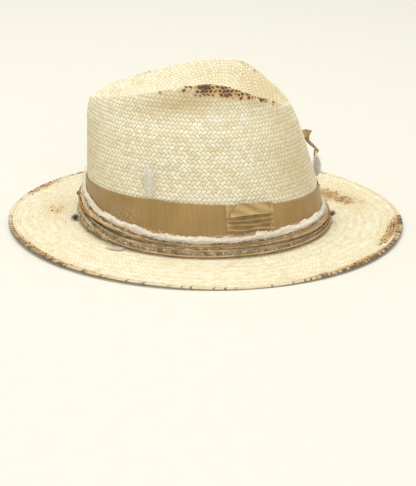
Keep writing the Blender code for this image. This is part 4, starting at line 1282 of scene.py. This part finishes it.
def make_tab(foot, radial):
    """Two flared cloth ends pinched together where the twine is tied round them."""
    cloth = cloth_material("tab_linen", (0.74, 0.53, 0.27), (0.42, 0.26, 0.10), (0.88, 0.72, 0.46))
    side = np.cross(UP, radial)
    points, faces, uv = [], [], []
    rows, cols = 26, 20
    for k, (lean, grow) in enumerate(((-1.0, 1.0), (1.0, 0.86))):
        share = np.linspace(0, 1, rows)[:, None]
        across = np.linspace(-1, 1, cols)[None]
        width = (1.1 + 1.9 * share ** 0.8) * grow
        bend = lean * (0.35 + 1.75 * share ** 1.2)
        pleat = 0.32 * np.sin(across * 5.0 + k) * (0.4 + share)
        height = 0.6 + 8.4 * share * grow + 0.5 * np.cos(across * 1.5) * share
        height = height + 0.25 * np.sin(across * 9 + k) * share ** 3
        mid = bend + across * width * 0.85
        depth = pleat + 0.5 * lean * (1 - share)
        front, rear = (foot + mid[..., None] * radial + (depth + half)[..., None] * side + height[..., None] * UP
                       for half in (0.28, -0.28))
        start = sum(len(p) for p in points)
        points.append(np.concatenate([front, rear[:, ::-1]], 1).reshape(-1, 3))
        one = xy(share * 9.0, across * 4.0)
        uv.append(np.concatenate([one, one[:, ::-1]], 1).reshape(-1, 2))
        faces += grid_faces(rows, 2 * cols, wrap_u=False, wrap_v=True, start=start)
        faces += end_caps(start, rows, 2 * cols)
    build("charm_tab", np.concatenate(points), faces, cloth, uv=np.concatenate(uv), replaces=["trim_tab"])
    t = np.linspace(0, TAU, 40, endpoint=False)
    wraps = []
    for k in range(3):
        level = 1.1 + 0.75 * k
        wraps.append((foot + np.cos(t)[:, None] * radial * 1.75 + np.sin(t)[:, None] * side * 1.35
                      + (level + 0.3 * np.cos(t))[:, None] * UP, True))
    tubes("tab_whipping", wraps, [0.38] * 3, lace_material("whipping", (0.50, 0.36, 0.21), (0.24, 0.15, 0.08)))
    rng = np.random.default_rng(83)
    count = TAB_THREADS
    roots = foot + rng.uniform(-2.6, 2.6, count)[:, None] * radial + rng.uniform(7.4, 8.9, count)[:, None] * UP
    fibres("tab_threads", roots, rng.normal(size=(count, 3)) * 0.6 + UP, rng.uniform(0.6, 1.4, count), 0.09,
           fibre_material("tab_hair", (0.76, 0.62, 0.42), (0.40, 0.26, 0.14)), seed=84, droop=0.0)


def make_knob(middle):
    """A small turned stud with a grooved waist."""
    outward = np.array([*wall_normal(CHARM_ANGLE, KNOB_Z), 0.0])
    across = np.cross(UP, outward)
    ring = ((0.7, 1.92), (1.2, 1.6), (1.45, 1.15), (1.30, 0.9), (1.62, 0.6), (1.98, 0.1), (1.9, -0.5),
            (1.5, -1.0), (1.1, -1.2), (1.25, -1.5), (1.1, -1.85))
    front, back = 2.0, -1.95
    sides, rows = 32, len(ring)
    flat = np.array([[middle + h * outward + r * (math.cos(t) * across + math.sin(t) * UP) for r, h in ring]
                     for t in turns_of(sides)]).reshape(-1, 3)
    caps = np.array([middle + front * outward, middle + back * outward])
    faces = grid_faces(sides, rows)
    top, low = len(flat), len(flat) + 1
    faces += [(top, k * rows, ((k + 1) % sides) * rows) for k in range(sides)]
    faces += [(low, ((k + 1) % sides) * rows + rows - 1, k * rows + rows - 1) for k in range(sides)]
    build("charm_knob", np.concatenate([flat, caps]), faces,
          metal_material("knob_old_brass", (0.62, 0.45, 0.20), (0.16, 0.10, 0.05)), replaces=["trim_knob"])


LOOP_RADIUS, LOOP_WIRE = 1.9, 0.35
FEATHER_LENGTH, QUILL_RADIUS, QUILL_BOW = 20.0, 0.36, 0.25
BARBS, BARB_SPANS, DOWN_FIBRES = 150, 7, 760
# half width of the feather at shares of its length from the top
VANE_SHARES, VANE_WIDTHS = [0.13, 0.22, 0.36, 0.5, 0.68, 0.85, 1.0], [1.6, 3.4, 4.4, 4.5, 3.5, 2.2, 0.7]


def make_feather(hinge, radial, tangent):
    """A soft small feather: horn quill, thin curved barbs in pairs and loose down near the top."""
    top = hinge - (LOOP_WIRE + LOOP_RADIUS + LOOP_WIRE + GAP) * UP
    share = np.linspace(0, 1, 40)
    bow = np.sin(math.pi * share) * QUILL_BOW
    line = top - (share * FEATHER_LENGTH)[:, None] * UP + bow[:, None] * radial + 0.35 * tangent
    tubes("quill", [(line, False)], [QUILL_RADIUS * (1.0 - 0.75 * share)], horn_material(), body="feather_charm",
          up=tangent, replaces=["feather_quill"])
    rng = np.random.default_rng(91)
    s = np.linspace(VANE_SHARES[0], 0.985, BARBS)
    width = np.interp(s, VANE_SHARES, VANE_WIDTHS)
    points, faces, uv = [], [], []
    start = 0
    for sign in (-1.0, 1.0):
        reach = width * (0.86 if sign < 0 else 1.16) * rng.uniform(0.88, 1.08, BARBS)
        for k in range(BARBS):
            root = top - s[k] * FEATHER_LENGTH * UP + 0.35 * tangent + np.sin(math.pi * s[k]) * QUILL_BOW * radial
            t = np.linspace(0, 1, BARB_SPANS + 1)[:, None]
            fall = 0.55 + 0.5 * s[k]
            mid = (root + sign * reach[k] * (t - 0.12 * t ** 2) * radial - reach[k] * fall * (t ** 1.5) * UP
                   - (0.45 + rng.normal() * 0.14) * (t ** 1.3) * tangent)
            half = (0.20 * (1.0 - 0.8 * t) + 0.02) * UP
            lift = 0.035 * tangent
            ring = np.stack([mid + half, mid + lift, mid - half, mid - lift], 1)
            points.append(ring.reshape(-1, 3))
            faces += grid_faces(BARB_SPANS + 1, 4, wrap_u=False, wrap_v=True, start=start)
            faces += end_caps(start, BARB_SPANS + 1, 4)
            uv.append(np.column_stack([np.full((BARB_SPANS + 1) * 4, float(k)), np.repeat(t[:, 0], 4)]))
            start += (BARB_SPANS + 1) * 4
    build("barbs", np.concatenate(points), faces, down_material(), body="feather_charm", uv=np.concatenate(uv),
          replaces=["feather_vane"])
    count = DOWN_FIBRES
    s = rng.uniform(0.06, 0.84, count)
    roots = top - (s * FEATHER_LENGTH)[:, None] * UP + 0.3 * tangent
    way = (rng.normal(size=(count, 1)) * radial * 1.2 - rng.uniform(0.0, 0.5, (count, 1)) * tangent
           - rng.uniform(0.1, 1.0, (count, 1)) * UP)
    fibres("down", roots, way, rng.uniform(2.0, 5.2, count) * (1.1 - 0.5 * s), 0.085,
           fibre_material("down_hair", (1.0, 0.96, 0.93), (0.94, 0.86, 0.80)), body="feather_charm", seed=92,
           droop=0.2, curl=0.5)


def horn_material():
    g = Graph("quill_horn_fine", 0.35)
    u, v = g.uv()
    streak = g.noise(g.vector(u * 0.8, v * 9.0), 1.0, 3.0)
    g.set("Subsurface Weight", 0.1)
    return g.finish(g.mix(streak.ramp(0.35, 0.65), (0.84, 0.76, 0.62), (0.56, 0.42, 0.28)), streak, 0.05, 0.5)


def down_material():
    """White to blush barbs that turn tan towards the feather's tip."""
    g = Graph("feather_down", 0.8, sheen=0.1, specular=0.15)
    g.set("Subsurface Weight", 0.35)
    g.set("Subsurface Scale", 0.003)
    u, v = g.uv()
    each = g.random(u, 2.0)
    colour = g.mix((u / BARBS).ramp(0.45, 1.0), (1.0, 0.93, 0.88), (0.84, 0.66, 0.48))
    colour = g.mix(each * 0.45, colour, (1.0, 0.97, 0.93))
    colour = g.mix(v.ramp(0.5, 1.0) * 0.22, colour, (0.88, 0.74, 0.62))
    return g.finish(colour, g.noise(g.vector(u, v * 30.0), 1.0, 2.0), 0.04, 0.5)


# ---- inside of the crown -----------------------------------------------------------------------------
SWEATBAND_D, SWEATBAND_Z = (-3.6, -2.4), (1.5, 37.0)
REED_RADIUS, REED_Z = 0.85, 1.15
BAND_STITCHES = 150
BOW_SIZE, BOW_Z = (13.0, 3.0, 6.0), 9.0
TAG_SPAN, TAG_Z, TAG_THICKNESS = (172.0, 178.5), (14.0, 26.0), 0.4


def make_inside():
    angle = ANGLES
    share = np.linspace(0, 1, 20)
    rolled = 0.55 * np.exp(-((share[None] - 1.0) / 0.06) ** 2) + 0.3 * np.exp(-(share[None] / 0.05) ** 2)
    ripple = 0.10 * waves(101, angle[:, None] * 0.5, share[None] * 4.0)
    d = SWEATBAND_D[0] + 0.15 - rolled * 0.5 + ripple
    leather = leather_material("sweatband_hide", (0.52, 0.34, 0.19), (0.30, 0.18, 0.09))
    foot, top = (np.full(len(angle), z) for z in SWEATBAND_Z)
    strip("sweat_leather", angle, foot, top, d, 0.9, leather, replaces=["sweatband"])
    reed_d = SWEATBAND_D[1] + GAP + REED_RADIUS
    twisted("reed", out(angle, reed_d, REED_Z), REED_RADIUS, 2.6,
            cloth_material("reed_cotton", (0.80, 0.72, 0.55), (0.56, 0.45, 0.28), (0.9, 0.85, 0.72)),
            strands=3, replaces=["sweatband_reed"], seed=103, wobble=0.03)
    t = np.linspace(-0.5, 0.5, 5)
    lines = [(out(a + t * 1.25, SWEATBAND_D[0] - 0.28 + 0.9 * t ** 2, 4.2), False)
             for a in np.arange(BAND_STITCHES) * 360.0 / BAND_STITCHES]
    tubes("sweatband_stitches", lines, [0.24] * BAND_STITCHES,
          cloth_material("stitch_thread", (0.82, 0.74, 0.58), (0.60, 0.48, 0.30), (0.9, 0.85, 0.7), fleck=0.2), sides=6)
    make_bow()
    make_tag()


def make_bow():
    """The small ribbon bow where the sweatband's ends meet."""
    middle = out(180.0, SWEATBAND_D[0] - GAP - 0.5 * BOW_SIZE[1], BOW_Z)
    side, inward = np.array([1.0, 0, 0]), np.array([0, -1.0, 0])
    satin = ribbon_material("bow_satin_fine", (0.46, 0.33, 0.20), (0.24, 0.16, 0.09))
    points, faces, uv, start = [], [], [], 0
    count, rows = 40, 8
    for sign in (-1.0, 1.0):
        t = np.linspace(0, TAU, count)
        across = sign * (0.9 + 2.6 * (1 - np.cos(t)))
        lift = np.sin(t)
        half = 1.1 + 1.7 * np.clip((1 - np.cos(t)) / 2, 0, 1)
        level = np.linspace(-1, 1, rows)
        outer = (middle + across[:, None, None] * side + (lift[:, None, None] * inward)
                 + (half[:, None] * level[None])[..., None] * UP)
        points.append(outer.reshape(-1, 3))
        inner = outer - 0.28 * np.sign(lift)[:, None, None] * inward - sign * 0.12 * side
        points.append(inner.reshape(-1, 3))
        faces += grid_faces(count, rows, wrap_u=False, start=start)
        faces += [tuple(reversed(f)) for f in grid_faces(count, rows, wrap_u=False, start=start + count * rows)]
        for k in range(count - 1):
            a, b = start + k * rows, start + count * rows + k * rows
            faces += [(a, a + rows, b + rows, b), (a + rows - 1, b + rows - 1, b + 2 * rows - 1, a + 2 * rows - 1)]
        grid = xy((np.arange(count) * 0.35)[:, None], level[None] * 3).reshape(-1, 2)
        uv += [grid, grid]
        start += 2 * count * rows
    sides, levels = 24, 6
    t = np.linspace(0, TAU, sides, endpoint=False)
    ring = middle + (np.cos(t) * 0.95)[:, None, None] * side + (np.sin(t) * 1.25)[:, None, None] * inward
    level = np.linspace(-1.5, 1.5, levels)
    band = ring + level[None, :, None] * UP
    band[..., :2] = middle[:2] + (band[..., :2] - middle[:2]) * (1.0 - 0.12 * (level / 1.5) ** 2)[None, :, None]
    points.append(band.reshape(-1, 3))
    faces += grid_faces(sides, levels, start=start)
    faces += [tuple(start + k * levels for k in range(sides))[::-1],
              tuple(start + k * levels + levels - 1 for k in range(sides))]
    uv.append(xy(np.arange(sides)[:, None] * 0.3, level[None]).reshape(-1, 2))
    build("inner_bow", np.concatenate(points), faces, satin, uv=np.concatenate(uv), replaces=["sweatband_bow"])


def make_tag():
    """A blank woven size tag, tacked at its four corners."""
    angle = np.linspace(*TAG_SPAN, 40)
    share = np.linspace(0, 1, 24)
    d = SWEATBAND_D[0] - GAP - TAG_THICKNESS + 0.05 * waves(111, angle[:, None] * 2, share[None] * 5)
    cloth = cloth_material("tag_cotton", (0.90, 0.87, 0.78), (0.76, 0.71, 0.60), (0.95, 0.93, 0.88), 1.6)
    foot, top = (np.full(len(angle), z) for z in TAG_Z)
    strip("blank_tag", angle, foot, top, d, TAG_THICKNESS * 0.8, cloth, closed=False, replaces=["size_tag"])
    tacks = []
    for a in (TAG_SPAN[0] + 0.5, TAG_SPAN[1] - 0.5):
        for z in (TAG_Z[0] + 0.9, TAG_Z[1] - 0.9):
            t = np.linspace(-0.4, 0.4, 5)
            tacks.append((out(a + t, SWEATBAND_D[0] - GAP - TAG_THICKNESS - 0.12 + 0.4 * t ** 2, z + t), False))
    thread = fibre_material("tack_thread", (0.5, 0.4, 0.3), (0.4, 0.3, 0.2))
    tubes("tag_tacks", tacks, [0.14] * len(tacks), thread, sides=6)


make_body()
make_edge()
make_ribbon()
make_torn_place()
make_fray()
make_wraps()
make_laces()
make_small_trims()
make_quartz()
make_charm()
make_inside()
